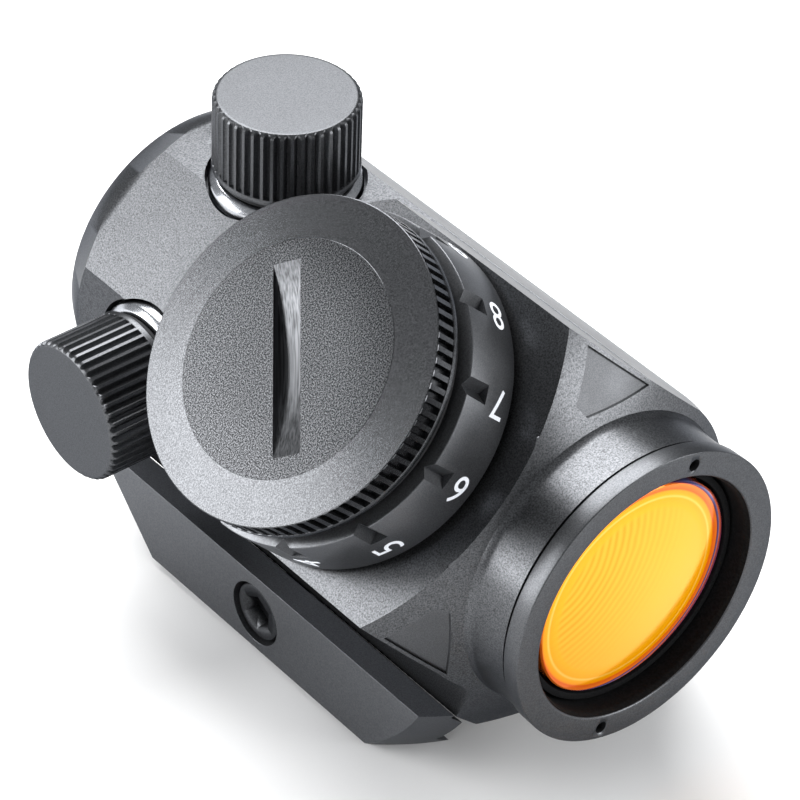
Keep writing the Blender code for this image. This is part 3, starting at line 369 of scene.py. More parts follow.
def make_materials():
    """Every finish, by the name used below."""
    return {
        "body": grained("anodised_body", grey(0.046), grey(0.122), roughness=0.30, metallic=0.9,
                        grain=7500, contrast=0.22, bump=0.15, wear=0.05),
        "cap": grained("anodised_cap", grey(0.062), grey(0.105), roughness=0.32, metallic=0.9,
                       grain=8500, contrast=0.22, bump=0.10, wear=0.05),
        "lid": grained("anodised_lid", grey(0.045), grey(0.105), roughness=0.25, metallic=0.95,
                       grain=8500, contrast=0.2, bump=0.12, wear=0.02),
        "disc": grained("speckled_disc", grey(0.011), grey(0.11), roughness=0.28, metallic=0.95,
                        grain=8500, contrast=0.16, bump=0.2, wear=0.02, middle=0.56),
        "slot": machined("machined_slot", grey(0.04), grey(0.13)),
        "recess": grained("anodised_recess", grey(0.075), grey(0.10), roughness=0.40,
                          metallic=0.8, grain=11000, contrast=0.1, bump=0.05),
        "dial": grained("anodised_dial", grey(0.095), grey(0.155), roughness=0.36,
                        metallic=0.85, grain=9000, contrast=0.25, bump=0.15),
        "clamp": grained("anodised_clamp", grey(0.09), grey(0.145), roughness=0.34,
                         metallic=0.85, grain=8500, contrast=0.25, bump=0.12, wear=0.05),
        # Black of the tube and retainers; also painted shade inside the bezel's opening and pin
        # holes
        "black": matt(grained("matte_black", grey(0.004), grey(0.009), roughness=0.8,
                              metallic=0.0, grain=5000, contrast=0.2, bump=0.2)),
        "bolt": grained("black_bolt", grey(0.04), grey(0.075), roughness=0.35, metallic=0.9,
                        grain=7000, contrast=0.2, bump=0.1),
        "polished": grained("polished_collar", grey(0.36), grey(0.48), roughness=0.22,
                            metallic=1.0, grain=4000, contrast=0.3, bump=0.03),
        "steel": grained("bright_steel", grey(0.45), grey(0.6), roughness=0.28, metallic=1.0,
                         grain=5000, contrast=0.3, bump=0.05),
        "brass": grained("brass", (0.55, 0.36, 0.11), (0.7, 0.48, 0.17), roughness=0.3,
                         metallic=1.0, grain=5000, contrast=0.3, bump=0.05),
        "rubber": grained("black_rubber", grey(0.008), grey(0.016), roughness=0.6,
                          metallic=0.0, grain=3000, contrast=0.3, bump=0.2),
        "board": grained("circuit_board", (0.01, 0.07, 0.02), (0.02, 0.12, 0.04), roughness=0.4,
                         metallic=0.0, grain=900, contrast=0.2, bump=0.1),
        "plastic": grained("black_plastic", grey(0.012), grey(0.02), roughness=0.5,
                           metallic=0.0, grain=2500, contrast=0.3, bump=0.15),
        "red": grained("emitter_red", (0.5, 0.01, 0.01), (0.8, 0.03, 0.02), roughness=0.25,
                       metallic=0.0, grain=4000, contrast=0.3, bump=0.05),
        "paint": grained("white_paint", grey(0.8), grey(0.9), roughness=0.5, metallic=0.0,
                         grain=6000, contrast=0.3, bump=0.1),
        "coating": make_lens_coating(),
        "lens_back": make_glass("blue_glass", (0.25, 0.5, 0.75), roughness=0.03),
        "glass": make_glass("clear_glass", (0.93, 0.97, 1.0), roughness=0.02),
    }


# ---------------------------------------------------------------- mesh helpers

def place_on(location, rotation):
    return Matrix.Translation(location) @ rotation.to_matrix().to_4x4()


def optical_place():
    """Local Z runs backwards along the optical axis, from the world's XZ plane."""
    return place_on(Vector((0, 0, AXIS_Z)), Euler((-math.pi / 2, 0, 0)))


def turret_place(tilt):
    return place_on(Vector((0, TURRET_Y, AXIS_Z)), Euler((0, tilt, 0)))


def dial_place():
    """Local X is the platform's right, local Y runs backwards, local Z leaves the dial."""
    return place_on(Vector((0, DIAL_Y, AXIS_Z)), Euler((0, DIAL_TILT, 0)))


def across_place(y, z):
    """Local Z runs to the right; z is measured from the optical axis."""
    return place_on(Vector((0, y * MM, AXIS_Z + z * MM)), Euler((0, math.pi / 2, 0)))


def section_place():
    """Local X and Y are the world's X and height, local Z runs towards the objective."""
    return place_on(Vector((0, 0, AXIS_Z)), Euler((math.pi / 2, 0, 0)))


def new_piece(name, bm, place, material=None):
    """Turn a bmesh in millimetres into a smooth-shaded object in metres."""
    bmesh.ops.recalc_face_normals(bm, faces=bm.faces)
    bmesh.ops.scale(bm, vec=(MM, MM, MM), verts=bm.verts)
    mesh = bpy.data.meshes.new(name)
    bm.to_mesh(mesh)
    bm.free()
    mesh.shade_smooth()
    mesh.set_sharp_from_angle(angle=SHARP)
    obj = bpy.data.objects.new(name, mesh)
    bpy.context.scene.collection.objects.link(obj)
    obj.matrix_world = place
    if material:
        mesh.materials.append(material)
    return obj


def filleted(profile, radius, steps=3, closed=True):
    """Round each corner of an outline; corners on the axis stay sharp."""
    out = []
    count = len(profile)
    for i, point in enumerate(profile):
        here = Vector(point)
        before = Vector(profile[i - 1])
        after = Vector(profile[(i + 1) % count])
        ends = not closed and i in (0, count - 1)
        if ends or (here.x == 0 and (before.x == 0 or after.x == 0)):
            out.append(tuple(here))
            continue
        back, ahead = (before - here), (after - here)
        reach = min(radius, 0.45 * back.length, 0.45 * ahead.length)
        start = here + back.normalized() * reach
        end = here + ahead.normalized() * reach
        for step in range(steps + 1):
            share = step / steps
            bend = (1 - share) ** 2 * start + 2 * share * (1 - share) * here + share ** 2 * end
            out.append(tuple(bend))
    return out


def turned_mesh(profile, segments, angles=None, radius_at=None):
    """Revolve a closed (radius, height) outline about local Z.

    radius_at(radius, height, step) may change a radius from step to step, for knurls."""
    bm = bmesh.new()
    angles = angles or [2 * math.pi * i / segments for i in range(segments)]
    columns = []
    poles = {}
    for step, angle in enumerate(angles):
        column = []
        for i, (radius, height) in enumerate(profile):
            if radius < 1e-6:
                if i not in poles:
                    poles[i] = bm.verts.new((0, 0, height))
                column.append(poles[i])
                continue
            if radius_at:
                radius = radius_at(radius, height, step)
            column.append(bm.verts.new((radius * math.cos(angle), radius * math.sin(angle),
                                        height)))
        columns.append(column)
    size = len(profile)
    for a, b in zip(columns, columns[1:] + columns[:1]):
        for i in range(size):
            j = (i + 1) % size
            corners = [a[i], a[j], b[j], b[i]]
            unique = list(dict.fromkeys(corners))
            if len(unique) > 2:
                bm.faces.new(unique)
    return bm


def turned(name, profile, place, material=None, segments=FINE):
    return new_piece(name, turned_mesh(profile, segments), place, material)


def tube_profile(inner, outer, low, high, edge=0.08):
    return filleted([(inner, low), (outer, low), (outer, high), (inner, high)], edge)


def wire_profile(radius, height, wire, sides=16):
    return [(radius + wire * math.cos(2 * math.pi * i / sides),
             height + wire * math.sin(2 * math.pi * i / sides)) for i in range(sides)]


def polygon(radius, corners, turn=0.0):
    step = 2 * math.pi / corners
    return [(radius * math.cos(turn + step * i), radius * math.sin(turn + step * i))
            for i in range(corners)]


def prism_mesh(outline, low, high):
    bm = bmesh.new()
    face = bm.faces.new([bm.verts.new((x, y, low)) for x, y in outline])
    raised = bmesh.ops.extrude_face_region(bm, geom=[face])["geom"]
    top = [item for item in raised if isinstance(item, bmesh.types.BMVert)]
    bmesh.ops.translate(bm, verts=top, vec=(0, 0, high - low))
    return bm


def prism(name, outline, low, high, place, material=None):
    return new_piece(name, prism_mesh(outline, low, high), place, material)


def combine(target, tool, operation):
    """Apply an exact Boolean at once and drop the tool."""
    modifier = target.modifiers.new("shape", "BOOLEAN")
    modifier.operation = operation
    modifier.solver = "EXACT"
    modifier.object = tool
    apply_modifiers(target)
    bpy.data.objects.remove(tool)


def apply_modifiers(obj):
    bpy.context.view_layer.update()
    graph = bpy.context.evaluated_depsgraph_get()
    mesh = bpy.data.meshes.new_from_object(obj.evaluated_get(graph))
    obj.modifiers.clear()
    old = obj.data
    obj.data = mesh
    bpy.data.meshes.remove(old)


def cut(target, *tools):
    for tool in tools:
        combine(target, tool, "DIFFERENCE")


def fuse(target, *tools):
    for tool in tools:
        combine(target, tool, "UNION")


def soften_edges(obj, width, limit=35):
    """Weld what the Booleans left, then break every sharp edge with a narrow round bevel."""
    weld = obj.modifiers.new("weld", "WELD")
    weld.merge_threshold = WELD_REACH
    bevel = obj.modifiers.new("edges", "BEVEL")
    bevel.width = width * MM
    bevel.segments = 2
    bevel.limit_method = "ANGLE"
    bevel.angle_limit = math.radians(limit)
    bevel.use_clamp_overlap = True
    bevel.harden_normals = True
    apply_modifiers(obj)


def finish_with(obj, *materials):
    """Replace whatever materials the Booleans left."""
    obj.data.materials.clear()
    for material in materials:
        obj.data.materials.append(material)


def settle(piece, body, slot, *nodes):
    """Ride on a body and stand for the CAD nodes, which it hides; the slot is not used."""
    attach(piece, body)
    if nodes:
        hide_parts(*nodes)
    return piece


# ---------------------------------------------------------------- housing

HALF_FLATS = 14.72                  # of the octagon
HOUSING_FRONT, HOUSING_REAR = -45.5, 13.42
FLARE_CENTRE = (0.84, -15.26)       # of the flare's hollow arc: radius, place along the axis
FLARE_R = 28.77
FLARE_FROM_R, FLARE_SPREAD = 13.8, 12.6
RECESS_DEPTH = 0.25
PLATFORM_TOP = 14.5                 # above the optical axis, along the dial's axis
PLATFORM_R = 17.3
SEAT_Z = -15.5                      # heights from the optical axis
JAW_TOP_Z = -12.2
JAW_LOW_Z = -21.1
BASE_REAR, BASE_FRONT = -9.2, 42    # towards the objective, before the flare trims the front
BOLT_Y, BOLT_Z = -15.3, -16.42
BOLT_HOLE_R = 2.2
AHEAD, OUTSIDE_R = -50.5, 45        # beyond the housing on every side
EDGE_BREAK = 0.13


def flare_y(radius):
    """Place along the axis of the flare's arc at that radius."""
    centre_r, centre_y = FLARE_CENTRE
    return centre_y - math.sqrt(FLARE_R ** 2 - (radius - centre_r) ** 2)


def flare_profile(shift=0.0):
    """Outline of everything outside the turned neck and flare, moved back by shift."""
    outline = [(13.55, AHEAD), (13.55, -45.6), (13.5, -44.6), (13.5, -43.4), (13.52, -42.4),
               (13.56, -41.8), (13.6, -41.45)]
    steps = 36
    for i in range(steps + 1):
        radius = FLARE_FROM_R + FLARE_SPREAD * i / steps
        outline.append((radius, flare_y(radius)))
    outline += [(OUTSIDE_R, outline[-1][1]), (OUTSIDE_R, AHEAD)]
    return [(radius, height + shift) for radius, height in outline]


def flare_tool(shift=0.0):
    return turned("flare_tool", flare_profile(shift), optical_place(), segments=FINE)


def right_corner_tool():
    """Rounds the octagon's right-hand corners where they run out into the flare."""
    rear, front, outside = -35.5, -42, 22
    profile = [(15.95, rear), (15.6, -36.9), (15.2, -38.4), (14.8, -40.3), (14.7, front),
               (outside, front), (outside, rear)]
    ring = turned("right_corner_tool", profile, optical_place())
    right_side = [(8, -8), (20, -8), (20, 20), (8, 8)]
    side = prism("right_side", right_side, -rear - 1.5, -front + 1, section_place())
    combine(ring, side, "INTERSECT")
    return ring


def rear_bevel_tool():
    """The 45 degree undercut at the rear of the rail base and the clamp bar."""
    reach, meets = 20, 7.7
    outline = [(meets + reach, JAW_TOP_Z + reach), (meets - reach, JAW_TOP_Z - reach),
               (meets + 2 * reach, JAW_TOP_Z - reach), (meets + 2 * reach, JAW_TOP_Z + reach)]
    place = place_on(Vector((0, 0, AXIS_Z)), Euler((math.pi / 2, 0, math.pi / 2)))
    return prism("rear_bevel_tool", outline, -reach, reach, place)


def base_block():
    """Rail base with the fixed jaw on the right, as one section along the housing."""
    outline = [(-12, -8), (-12, -12.9), (-9.4, SEAT_Z), (8, SEAT_Z), (10.9, -18.4),
               (10.9, -18.7), (8.5, JAW_LOW_Z), (14.2, JAW_LOW_Z), (15, -20.3), (15, JAW_TOP_Z),
               (12, -11.6), (12, -8)]
    block = prism("base_block", outline, BASE_REAR, BASE_FRONT, section_place())
    cut(block, rear_bevel_tool())
    return block


def platform_block():
    """Block under the dial: straight sides, a round back edge about the dial's axis."""
    half, front, low = 14.65, 18.5, 1
    half_angle = math.asin(half / PLATFORM_R)
    steps = 48
    outline = [(-half, -front), (half, -front)]
    for i in range(steps + 1):
        angle = half_angle - 2 * half_angle * i / steps
        outline.append((PLATFORM_R * math.sin(angle), PLATFORM_R * math.cos(angle)))
    return prism("platform_block", outline, low, PLATFORM_TOP, dial_place())


def recess_tool(side):
    """Shallow four-sided recess in the flare's face, above (1) or beside (-1) the dial."""
    near, far = 20, 50
    corners = ((14.35, 12.75), (9.85, 12.6), (9.55, 11.35), (14.35, 6.1))
    outline = [(side * across, out) for across, out in corners]
    patch = prism("recess_tool", outline, near, far, recess_place())
    combine(patch, flare_tool(RECESS_DEPTH), "INTERSECT")
    return patch


def finish_recesses(body, material):
    """Give the floors of the two recesses their smoother finish."""
    body.data.materials.append(material)
    into = recess_place().inverted() @ body.matrix_world
    across, out, reach, slack = (9 * MM, 15 * MM), (5.5 * MM, 13.2 * MM), 26, 0.07
    for face in body.data.polygons:
        radius = math.hypot(face.center.x, face.center.y) / MM
        spot = into @ face.center
        inside = across[0] < abs(spot.x) < across[1] and out[0] < spot.y < out[1]
        if inside and radius < reach:
            depth = face.center.z / MM - flare_y(radius)
            if abs(depth - RECESS_DEPTH) < slack:
                face.material_index = 1


def recess_place():
    """Local X is the platform's right, local Y leaves the dial, local Z runs forward."""
    across = Vector((1, 0, 1)).normalized()
    out = Vector((-1, 0, 1)).normalized()
    ahead = Vector((0, -1, 0))
    turn = Matrix((across, out, ahead)).transposed().to_4x4()
    return Matrix.Translation(Vector((0, 0, AXIS_Z))) @ turn


def bolt_hole_tool(radius=BOLT_HOLE_R, low=-20, high=20):
    profile = [(0, low), (radius, low), (radius, high), (0, high)]
    return turned("bolt_hole_tool", profile, across_place(BOLT_Y, BOLT_Z), segments=48)


def nut_pocket_tool():
    outline = polygon(4.3, 6, math.pi / 6)
    return prism("nut_tool", outline, low=12, high=17, place=across_place(BOLT_Y, BOLT_Z))


def rear_cone_tool():
    """Everything outside the turned rear end."""
    outside, front = 22, 9.25
    behind = HOUSING_REAR + 1
    profile = [(outside, front), (outside, behind), (12.83, behind), (13.37, HOUSING_REAR),
               (15.1, 10.2), (15.95, front)]
    return turned("rear_cone_tool", profile, optical_place())


def bore_tool():
    """Through bore, narrower at a lip that the rear window's seal rests on."""
    bore_r, lip_r, rear_r, front, rear = 12.3, 10.6, 12, -48.5, 16.5
    profile = [(0, front), (bore_r, front), (bore_r, 8), (lip_r, 8), (lip_r, 9), (rear_r, 9),
               (rear_r, rear), (0, rear)]
    return turned("bore_tool", profile, optical_place())


def turret_pocket_tool(tilt):
    """Round pocket for a turret's collar, with the screw's hole in its floor."""
    low, floor, high, hole_r, pocket_r = 11, 13.3, 18, 1.6, 7
    profile = [(0, low), (hole_r, low), (hole_r, floor), (pocket_r, floor), (pocket_r, high),
               (0, high)]
    return turned("pocket_tool", profile, turret_place(tilt), segments=ROUND)


def dial_seat_tool():
    """Clears the platform's top and sinks the dial base's round seat into it."""
    floor, seat_r, above = 13.2, 9, 15.2
    profile = [(0, floor), (seat_r, floor), (seat_r, PLATFORM_TOP), (PLATFORM_R, PLATFORM_TOP),
               (PLATFORM_R, above), (0, above)]
    return turned("seat_tool", profile, dial_place())


def make_housing(material, recess_material):
    section = polygon(HALF_FLATS / math.cos(math.pi / 8), 8, math.pi / 8)
    body = prism("housing_shell", section, HOUSING_FRONT, HOUSING_REAR, optical_place())
    fuse(body, platform_block(), base_block())
    cut(body, flare_tool(), right_corner_tool())
    cut(body, rear_cone_tool())
    cut(body, bore_tool())
    cut(body, turret_pocket_tool(0), turret_pocket_tool(-math.pi / 2))
    cut(body, dial_seat_tool())
    cut(body, recess_tool(1), recess_tool(-1))
    cut(body, bolt_hole_tool())
    cut(body, nut_pocket_tool())
    soften_edges(body, EDGE_BREAK)
    finish_with(body, material)
    finish_recesses(body, recess_material)
    settle(body, "body", "anodised_body", "housing")


# ---------------------------------------------------------------- both ends

BEZEL_FRONT = -47.57
PIN_HOLE_ANGLE = math.radians(71.5)
PIN_CIRCLE_R = 12.65
PIN_HOLE_R = 0.55
PIN_HOLE_DEPTH = 1.0
LENS_FRONT = -45.9
LENS_LEAN = math.radians(2.5)


def pin_hole_tool(way):
    """Blind hole with a drilled point, in the bezel's face above (1) or below (-1) the lens."""
    out = way * PIN_CIRCLE_R
    spot = Vector((out * math.cos(PIN_HOLE_ANGLE) * MM, 0,
                   AXIS_Z + out * math.sin(PIN_HOLE_ANGLE) * MM))
    front, floor = -48.5, BEZEL_FRONT + PIN_HOLE_DEPTH
    profile = [(0, front), (PIN_HOLE_R, front), (PIN_HOLE_R, floor), (0, floor + 0.1)]
    place = place_on(spot, Euler((-math.pi / 2, 0, 0)))
    return turned("pin_hole_tool", profile, place, segments=32)


def make_objective_bezel(material, inside):
    """Front ring, painted black inside its opening and its pin holes as painted shade."""
    profile = filleted([(11.56, BEZEL_FRONT), (13.82, BEZEL_FRONT), (13.77, -45.8),
                        (12.0, -45.8), (12.0, -43.6), (11.3, -43.6), (11.3, -46.97)], 0.14)
    bezel = turned("bezel_ring", profile, optical_place())
    cut(bezel, pin_hole_tool(1), pin_hole_tool(-1))
    finish_with(bezel, material, inside)
    # The opening's wall and the pin holes take the matte black as painted shade
    opening_r, holes_r, holes_y = 11.52, (12.0, 13.3), (-47.45, -46.3)
    for face in bezel.data.polygons:
        from_axis = math.hypot(face.center.x, face.center.y) / MM
        along = face.center.z / MM
        painted_shade_in_hole = holes_r[0] < from_axis < holes_r[1] and holes_y[0] < along < holes_y[1]
        face.material_index = int(painted_shade_in_hole or from_axis < opening_r)
    settle(bezel, "body", "anodised_body", "objective_bezel")


def make_rear_end(finish):
    place = optical_place()
    window_r, front, rear = 11.6, 10, 11.5
    outline = filleted([(0, front), (window_r, front), (window_r, rear), (0, rear)], 0.15)
    window = turned("rear_window_glass", outline, place, finish["glass"])
    settle(window, "body", "clear_glass", "rear_window")
    outline = tube_profile(inner=10.5, outer=11.7, low=11.8, high=13.2, edge=0.15)
    ring = turned("eyepiece_retainer", outline, place, finish["black"])
    settle(ring, "body", "black_metal", "eyepiece_ring")
    outline = wire_profile(radius=11.15, height=9.5, wire=0.35)
    seal = turned("rear_window_seal", outline, place, finish["rubber"])
    settle(seal, "body", "rubber", "rear_window_oring")


def lean(obj, low=None):
    """Shear the lens, or only the points in front of low, along the optical axis."""
    slope = math.tan(LENS_LEAN) * Vector((1, 1, 0)).normalized()
    for vertex in obj.data.vertices:
        if low is None or vertex.co.z < low * MM:
            vertex.co.z += vertex.co.x * slope.x + vertex.co.y * slope.y


def lens_profile(edge, sag):
    """Bowl-fronted lens with a chamfered rim; edge is its thickness and sag its bulge."""
    steps = 12
    bowl = [(LENS_R * i / steps, LENS_FRONT - sag * (1 - (i / steps) ** 2))
            for i in range(steps + 1)]
    back = [(r, height + edge) for r, height in reversed(bowl)]
    chamfer = [(LENS_R - 0.15, LENS_FRONT + 0.005), (LENS_R, LENS_FRONT + 0.15),
               (LENS_R, LENS_FRONT + edge)]
    return bowl[:-1] + chamfer + back[1:]


def make_lens(place, finish):
    edge, sag = 2.0, 0.55
    lens = turned("coated_lens", lens_profile(edge, sag), place, finish["coating"])
    lens.data.materials.append(finish["lens_back"])
    middle = (LENS_FRONT + edge / 2) * MM
    for face in lens.data.polygons:
        behind = face.normal.z > 0.5 and face.center.z > middle - sag * MM
        face.material_index = 1 if behind else 0
    lean(lens)
    settle(lens, "optic_tube", "coated_lens", "objective_lens")


def make_optic_tube(finish):
    place = optical_place()
    profile = [(10.4, -45.6), (11.0, -45.6), (11.0, 5.5), (9.8, 5.5), (9.8, -40.9), (10.4, -40.9)]
    tube = turned("optic_tube_shell", filleted(profile, 0.1), place, finish["black"])
    settle(tube, "optic_tube", "black_metal", "inner_tube")
    make_lens(place, finish)
    front = -43.6
    outline = tube_profile(inner=9.3, outer=10.1, low=front, high=-41.0)
    ring = turned("lens_retainer", outline, place, finish["black"])
    lean(ring, front + 0.3)
    settle(ring, "optic_tube", "black_metal", "lens_ring")


# ---------------------------------------------------------------- turrets

def knurled_cap(name, place, material):
    """Cap with round grooves along its side, from above the skirt up into the rounded edge."""
    grooves = 46
    # each groove's points: share of its pitch, share of its depth
    shape = ((0.0, 0.0), (0.3, 0.0), (0.45, 0.7), (0.65, 1.0), (0.85, 0.7))
    angles = [2 * math.pi * (g + share) / grooves for g in range(grooves) for share, _ in shape]
    depths = [depth for _ in range(grooves) for _, depth in shape]
    top, radius, depth, skirt, flat = 23.2, 6.4, 0.34, 16.5, 5.98

    def radius_at(r, height, step):
        """Full depth along the side; the grooves run out in the rounded top edge."""
        if height <= skirt or r < flat:
            return r
        return min(r, radius - depth * depths[step])

    inner = [(0, 21.9), (5.3, 21.9), (5.3, 16.0)]
    outer = [(radius, 16.0), (radius + 0.04, 16.06), (radius + 0.04, 16.3), (radius, skirt - 0.08),
             (radius, skirt), (radius, skirt + 0.06), (radius, top - 0.5),
             (radius - 0.03, top - 0.36), (radius - 0.18, top - 0.16), (radius - 0.34, top - 0.04),
             (flat, top), (flat - 0.15, top), (3, top), (0, top)]
    return new_piece(name, turned_mesh(inner + outer, 0, angles, radius_at), place, material)


def make_turret(word, tilt, finish):
    place = turret_place(tilt)
    collar = filleted([(2.7, 13.6), (6.7, 13.6), (6.7, 14.6), (6.1, 15.2), (5.0, 15.2),
                       (5.0, 19.3), (2.7, 19.3)], 0.25, steps=4)
    piece = turned(f"{word}_collar_ring", collar, place, finish["polished"], ROUND)
    settle(piece, "body", "polished_collar", f"{word}_collar")
    outline = wire_profile(radius=5.75, height=15.6, wire=0.3)
    gasket = turned(f"{word}_seal_ring", outline, place, finish["rubber"], ROUND)
    settle(gasket, f"{word}_seal", "rubber", f"{word}_cap_gasket")
    cap = knurled_cap(f"{word}_knurled_cap", place, finish["cap"])
    settle(cap, f"{word}_lid", "anodised_cap", f"{word}_cap")


# ---------------------------------------------------------------- dial

DIAL_R_LOW, DIAL_R_HIGH = 14.5, 14.35           # its side narrows a little towards the cap
DIAL_LOW, DIAL_HIGH = 15.2, 21.4
STOPS = 12
CLICK = math.radians(30)
NUMERAL_START = math.radians(-183)  # of the 0, from the front towards the platform's right
NOTCH_AHEAD = math.radians(1.0)     # each notch is this far past its number
NUMERAL_EDGE = 0.35                 # longest edge that still wraps round the dial smoothly


def dial_radius(height):
    share = (height - DIAL_LOW) / (DIAL_HIGH - DIAL_LOW)
    return DIAL_R_LOW + (DIAL_R_HIGH - DIAL_R_LOW) * share


def notch_tool(angle):
    """V-notch in the dial's side, open at the top."""
    depth, half, low = 0.75, 0.78, 18.7
    inner = DIAL_R_HIGH - depth
    outer = DIAL_R_HIGH + 1
    wide = half * (outer - inner) / depth
    outline = [(0, -inner), (-wide, -outer), (wide, -outer)]
    turn = dial_place() @ Matrix.Rotation(angle, 4, "Z")
    return prism("notch_tool", outline, low, DIAL_HIGH + 1, turn)


def joined(objects):
    """Merge helper objects that don't touch into the first one."""
    bm = bmesh.new()
    for obj in objects:
        copy = obj.data.copy()
        copy.transform(objects[0].matrix_world.inverted() @ obj.matrix_world)
        bm.from_mesh(copy)
        bpy.data.meshes.remove(copy)
    bm.to_mesh(objects[0].data)
    bm.free()
    for obj in objects[1:]:
        bpy.data.objects.remove(obj)
    return objects[0]


def make_dial_ring(material):
    profile = filleted([(5.3, 17.0), (13.3, 17.0), (13.3, DIAL_LOW), (DIAL_R_LOW, DIAL_LOW),
                        (DIAL_R_HIGH, DIAL_HIGH), (12.3, DIAL_HIGH), (12.3, 17.8), (5.3, 17.8)],
                       0.16)
    ring = turned("dial_ring_shell", profile, dial_place(), material, segments=180)
    start = NUMERAL_START + NOTCH_AHEAD
    cut(ring, joined([notch_tool(start + CLICK * i) for i in range(STOPS)]))
    finish_with(ring, material)
    ring.data.set_sharp_from_angle(angle=math.radians(22))
    settle(ring, "dial", "dial_metal", "dial_ring")


def numeral_mesh(text, tall):
    """The built-in font's numeral as a flat triangle mesh, centred, tall millimetres high."""
    curve = bpy.data.curves.new("numeral", "FONT")
    curve.body = text
    curve.align_x = "CENTER"
    holder = bpy.data.objects.new("numeral", curve)
    bpy.context.scene.collection.objects.link(holder)
    bpy.context.view_layer.update()
    mesh = bpy.data.meshes.new_from_object(holder.evaluated_get(
        bpy.context.evaluated_depsgraph_get()))
    bpy.data.objects.remove(holder)
    bm = bmesh.new()
    bm.from_mesh(mesh)
    bpy.data.meshes.remove(mesh)
    heights = [vertex.co.y for vertex in bm.verts]
    widths = [vertex.co.x for vertex in bm.verts]
    scale = tall / (max(heights) - min(heights))
    middle = Vector(((max(widths) + min(widths)) / 2, (max(heights) + min(heights)) / 2, 0))
    for vertex in bm.verts:
        vertex.co = (vertex.co - middle) * scale
    bmesh.ops.triangulate(bm, faces=bm.faces)
    for _ in range(2):
        long_edges = [edge for edge in bm.edges if edge.calc_length() > NUMERAL_EDGE]
        bmesh.ops.subdivide_edges(bm, edges=long_edges, cuts=1)
        bmesh.ops.triangulate(bm, faces=bm.faces)
    return bm


def make_numerals(material):
    """White figures on the dial's side: they read towards the cap, each below its notch."""
    height, tall, proud, deep = 17.0, 2.5, 0.02, 0.05
    for number in range(STOPS):
        centre = NUMERAL_START + CLICK * number
        bm = numeral_mesh(str(number), tall)
        raised = bmesh.ops.extrude_face_region(bm, geom=list(bm.faces))["geom"]
        top = {item for item in raised if isinstance(item, bmesh.types.BMVert)}
        for vertex in bm.verts:
            x, y = vertex.co.x, vertex.co.y
            radius = dial_radius(height + x) + (proud if vertex in top else -deep)
            angle = centre - y / DIAL_R_LOW
            vertex.co = (radius * math.sin(angle), -radius * math.cos(angle), height + x)
        piece = new_piece(f"numeral_{number}", bm, dial_place(), material)
        settle(piece, "dial", "dial_metal")


CAP_TOP, CAP_RIM = 26.23, 25.87     # heights of the battery cap's flat and of its outer edge
CAP_FLAT_R = 10.02
COIN_SLOT = (8.2, 1.3, 1.15)        # half length, half width, depth


def battery_cap_mesh():
    """Cap with a coin-edge side between its lower bead and the bevel's edge."""
    teeth, depth, bead_top, side_r = 84, 0.5, 23.62, 13.0
    # each tooth's points: share of its pitch, share of the gap's depth
    shape = ((0.0, 0.0), (0.42, 0.0), (0.5, 1.0), (0.92, 1.0))
    angles = [2 * math.pi * (t + share) / teeth for t in range(teeth) for share, _ in shape]
    depths = [depth for _ in range(teeth) for _, depth in shape]

    def radius_at(r, height, step):
        if r > side_r and bead_top < height < CAP_RIM - 0.12:
            return r - depth * depths[step]
        return r

    inner = [(0, 22.4), (10.5, 22.4), (10.5, 19.2)]
    outer = [(11.9, 19.2), (12.0, 19.3), (12.0, 23.0), (13.8, 23.0), (13.93, 23.06),
             (13.95, 23.2), (13.95, 23.45), (13.93, 23.58), (13.88, 23.64), (13.88, 25.6),
             (13.9, 25.74), (13.87, 25.83), (13.8, CAP_RIM), (CAP_FLAT_R + 0.04, CAP_TOP - 0.03),
             (CAP_FLAT_R, CAP_TOP - 0.005), (CAP_FLAT_R - 0.06, CAP_TOP), (5, CAP_TOP),
             (0, CAP_TOP)]
    return turned_mesh(inner + outer, 0, angles, radius_at)


def coin_slot_tool():
    """An arc-floored slot, as a slitting saw leaves it."""
    half_length, half_width, depth = COIN_SLOT
    saw_r = (half_length ** 2 + depth ** 2) / (2 * depth)
    steps = 24
    outline = []
    reach = math.asin(half_length / saw_r)
    for i in range(steps + 1):
        angle = -reach + 2 * reach * i / steps
        outline.append((saw_r * math.sin(angle), CAP_TOP + saw_r - depth - saw_r * math.cos(angle)))
    outline += [(half_length, CAP_TOP + 1), (-half_length, CAP_TOP + 1)]
    turn = (dial_place() @ Matrix.Rotation(SLOT_ANGLE, 4, "Z")
            @ Matrix.Rotation(math.pi / 2, 4, "X"))
    return prism("coin_slot_tool", outline, -half_width, half_width, turn)


def make_battery_cap(finish):
    """Cap with its own finishes on the flat, on the bevel and in the slot."""
    cap = new_piece("battery_cap_shell", battery_cap_mesh(), dial_place(), finish["lid"])
    cut(cap, coin_slot_tool())
    cap.data.shade_smooth()
    cap.data.set_sharp_from_angle(angle=math.radians(9))
    finish_with(cap, finish["lid"], finish["disc"], finish["slot"])
    slot_reach, slot_floor = COIN_SLOT[0] + 0.2, 25
    for face in cap.data.polygons:
        height = face.center.z / MM
        from_axis = math.hypot(face.center.x, face.center.y) / MM
        if from_axis < CAP_FLAT_R + 0.02 and height > CAP_TOP - 0.005:
            face.material_index = 1
        elif from_axis < slot_reach and slot_floor < height:
            face.material_index = 2
    settle(cap, "battery_lid", "anodised_cap", "battery_cap")
    outline = wire_profile(radius=12.75, height=22.2, wire=0.6)
    seal = turned("battery_cap_seal", outline, dial_place(), finish["rubber"])
    settle(seal, "battery_seal", "rubber", "battery_cap_oring")


# ---------------------------------------------------------------- clamp

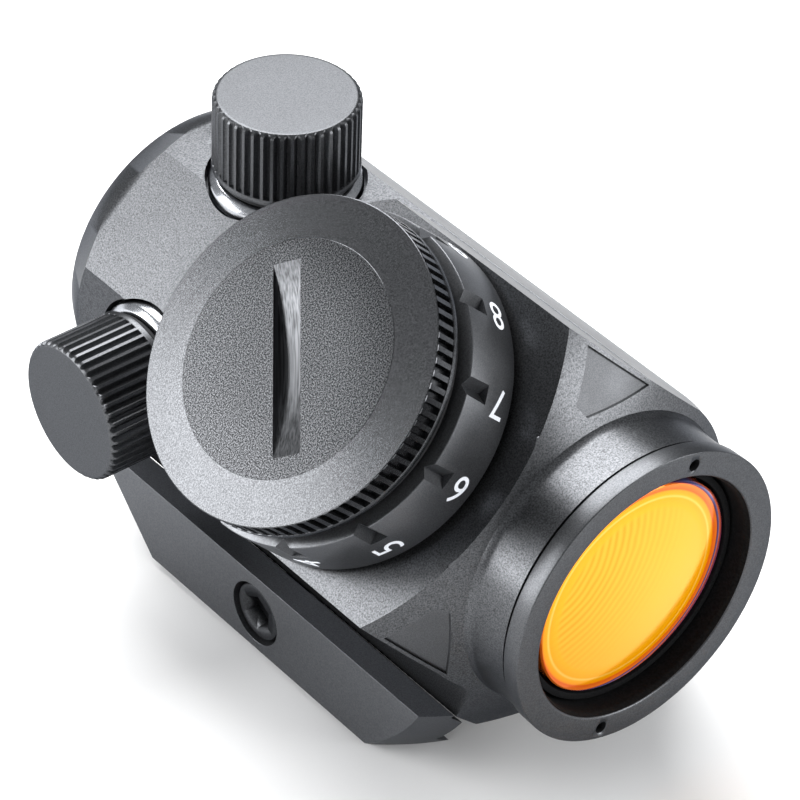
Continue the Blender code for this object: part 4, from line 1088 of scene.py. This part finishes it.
def make_clamp_bar(material):
    outline = [(-15, JAW_TOP_Z), (-15, -20.3), (-14.2, JAW_LOW_Z), (-8.5, JAW_LOW_Z),
               (-11, -18.7), (-11, -14.4), (-12.3, -13.1), (-12.3, -12.6)]
    bar = prism("clamp_bar_shell", outline, BASE_REAR, BASE_FRONT, section_place())
    cut(bar, rear_bevel_tool(), flare_tool())
    counterbore = bolt_hole_tool(radius=3.06, low=-16, high=-12.3)
    cut(bar, counterbore, bolt_hole_tool())
    soften_edges(bar, EDGE_BREAK)
    finish_with(bar, material)
    settle(bar, "clamp", "anodised_body", "clamp_bar")


def make_cross_bolt(material):
    place = across_place(BOLT_Y, BOLT_Z)
    head_r, shank_r, outer_end, under_head, inner_end = 2.75, 2, -14.7, -12.6, 14.8
    profile = filleted([(0, outer_end), (head_r, outer_end), (head_r, under_head),
                        (shank_r, under_head), (shank_r, inner_end), (0, inner_end)], 0.25)
    bolt = turned("bolt_shell", profile, place, None, ROUND)
    cut(bolt, prism("socket_tool", polygon(1.75, 6), low=-16, high=-13.4, place=place))
    finish_with(bolt, material)
    settle(bolt, "bolt", "black_metal", "cross_bolt")


def make_bolt_nut(material):
    place = across_place(BOLT_Y, BOLT_Z)
    nut = prism("hex_nut", polygon(4.0, 6, math.pi / 6), low=12.3, high=14.8, place=place)
    cut(nut, bolt_hole_tool())
    soften_edges(nut, 0.2)
    finish_with(nut, material)
    settle(nut, "body", "steel", "bolt_nut")


# ---------------------------------------------------------------- nodes that keep their CAD shape

def paint_nodes(finish):
    """New materials for the hidden works, which keep their CAD shape."""
    kept = {
        "steel": ["gimbal_ring", "gimbal_pin_right", "gimbal_pin_left", "gimbal_pin_top",
                  "gimbal_pin_bottom", "bias_spring", "elevation_plunger", "windage_plunger",
                  "dial_base_screw_1", "dial_base_screw_2", "dial_base_screw_3", "detent_ball",
                  "detent_spring", "dial_clip", "battery"],
        "brass": ["elevation_screw", "windage_screw", "battery_contact"],
        "plastic": ["led_holder", "dial_base"],
        "red": ["led_emitter"],
        "board": ["switch_board"],
        "rubber": ["dial_oring"],
    }
    for finish_name, names in kept.items():
        for name in names:
            finish_with(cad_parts[name], finish[finish_name])


def main():
    make_camera()
    make_floor()
    make_light()
    finish = make_materials()
    make_housing(finish["body"], finish["recess"])
    make_objective_bezel(finish["cap"], finish["black"])
    make_rear_end(finish)
    make_optic_tube(finish)
    make_turret("elevation", 0, finish)
    make_turret("windage", -math.pi / 2, finish)
    make_dial_ring(finish["dial"])
    make_numerals(finish["paint"])
    make_battery_cap(finish)
    make_clamp_bar(finish["clamp"])
    make_cross_bolt(finish["bolt"])
    make_bolt_nut(finish["steel"])
    paint_nodes(finish)


main()
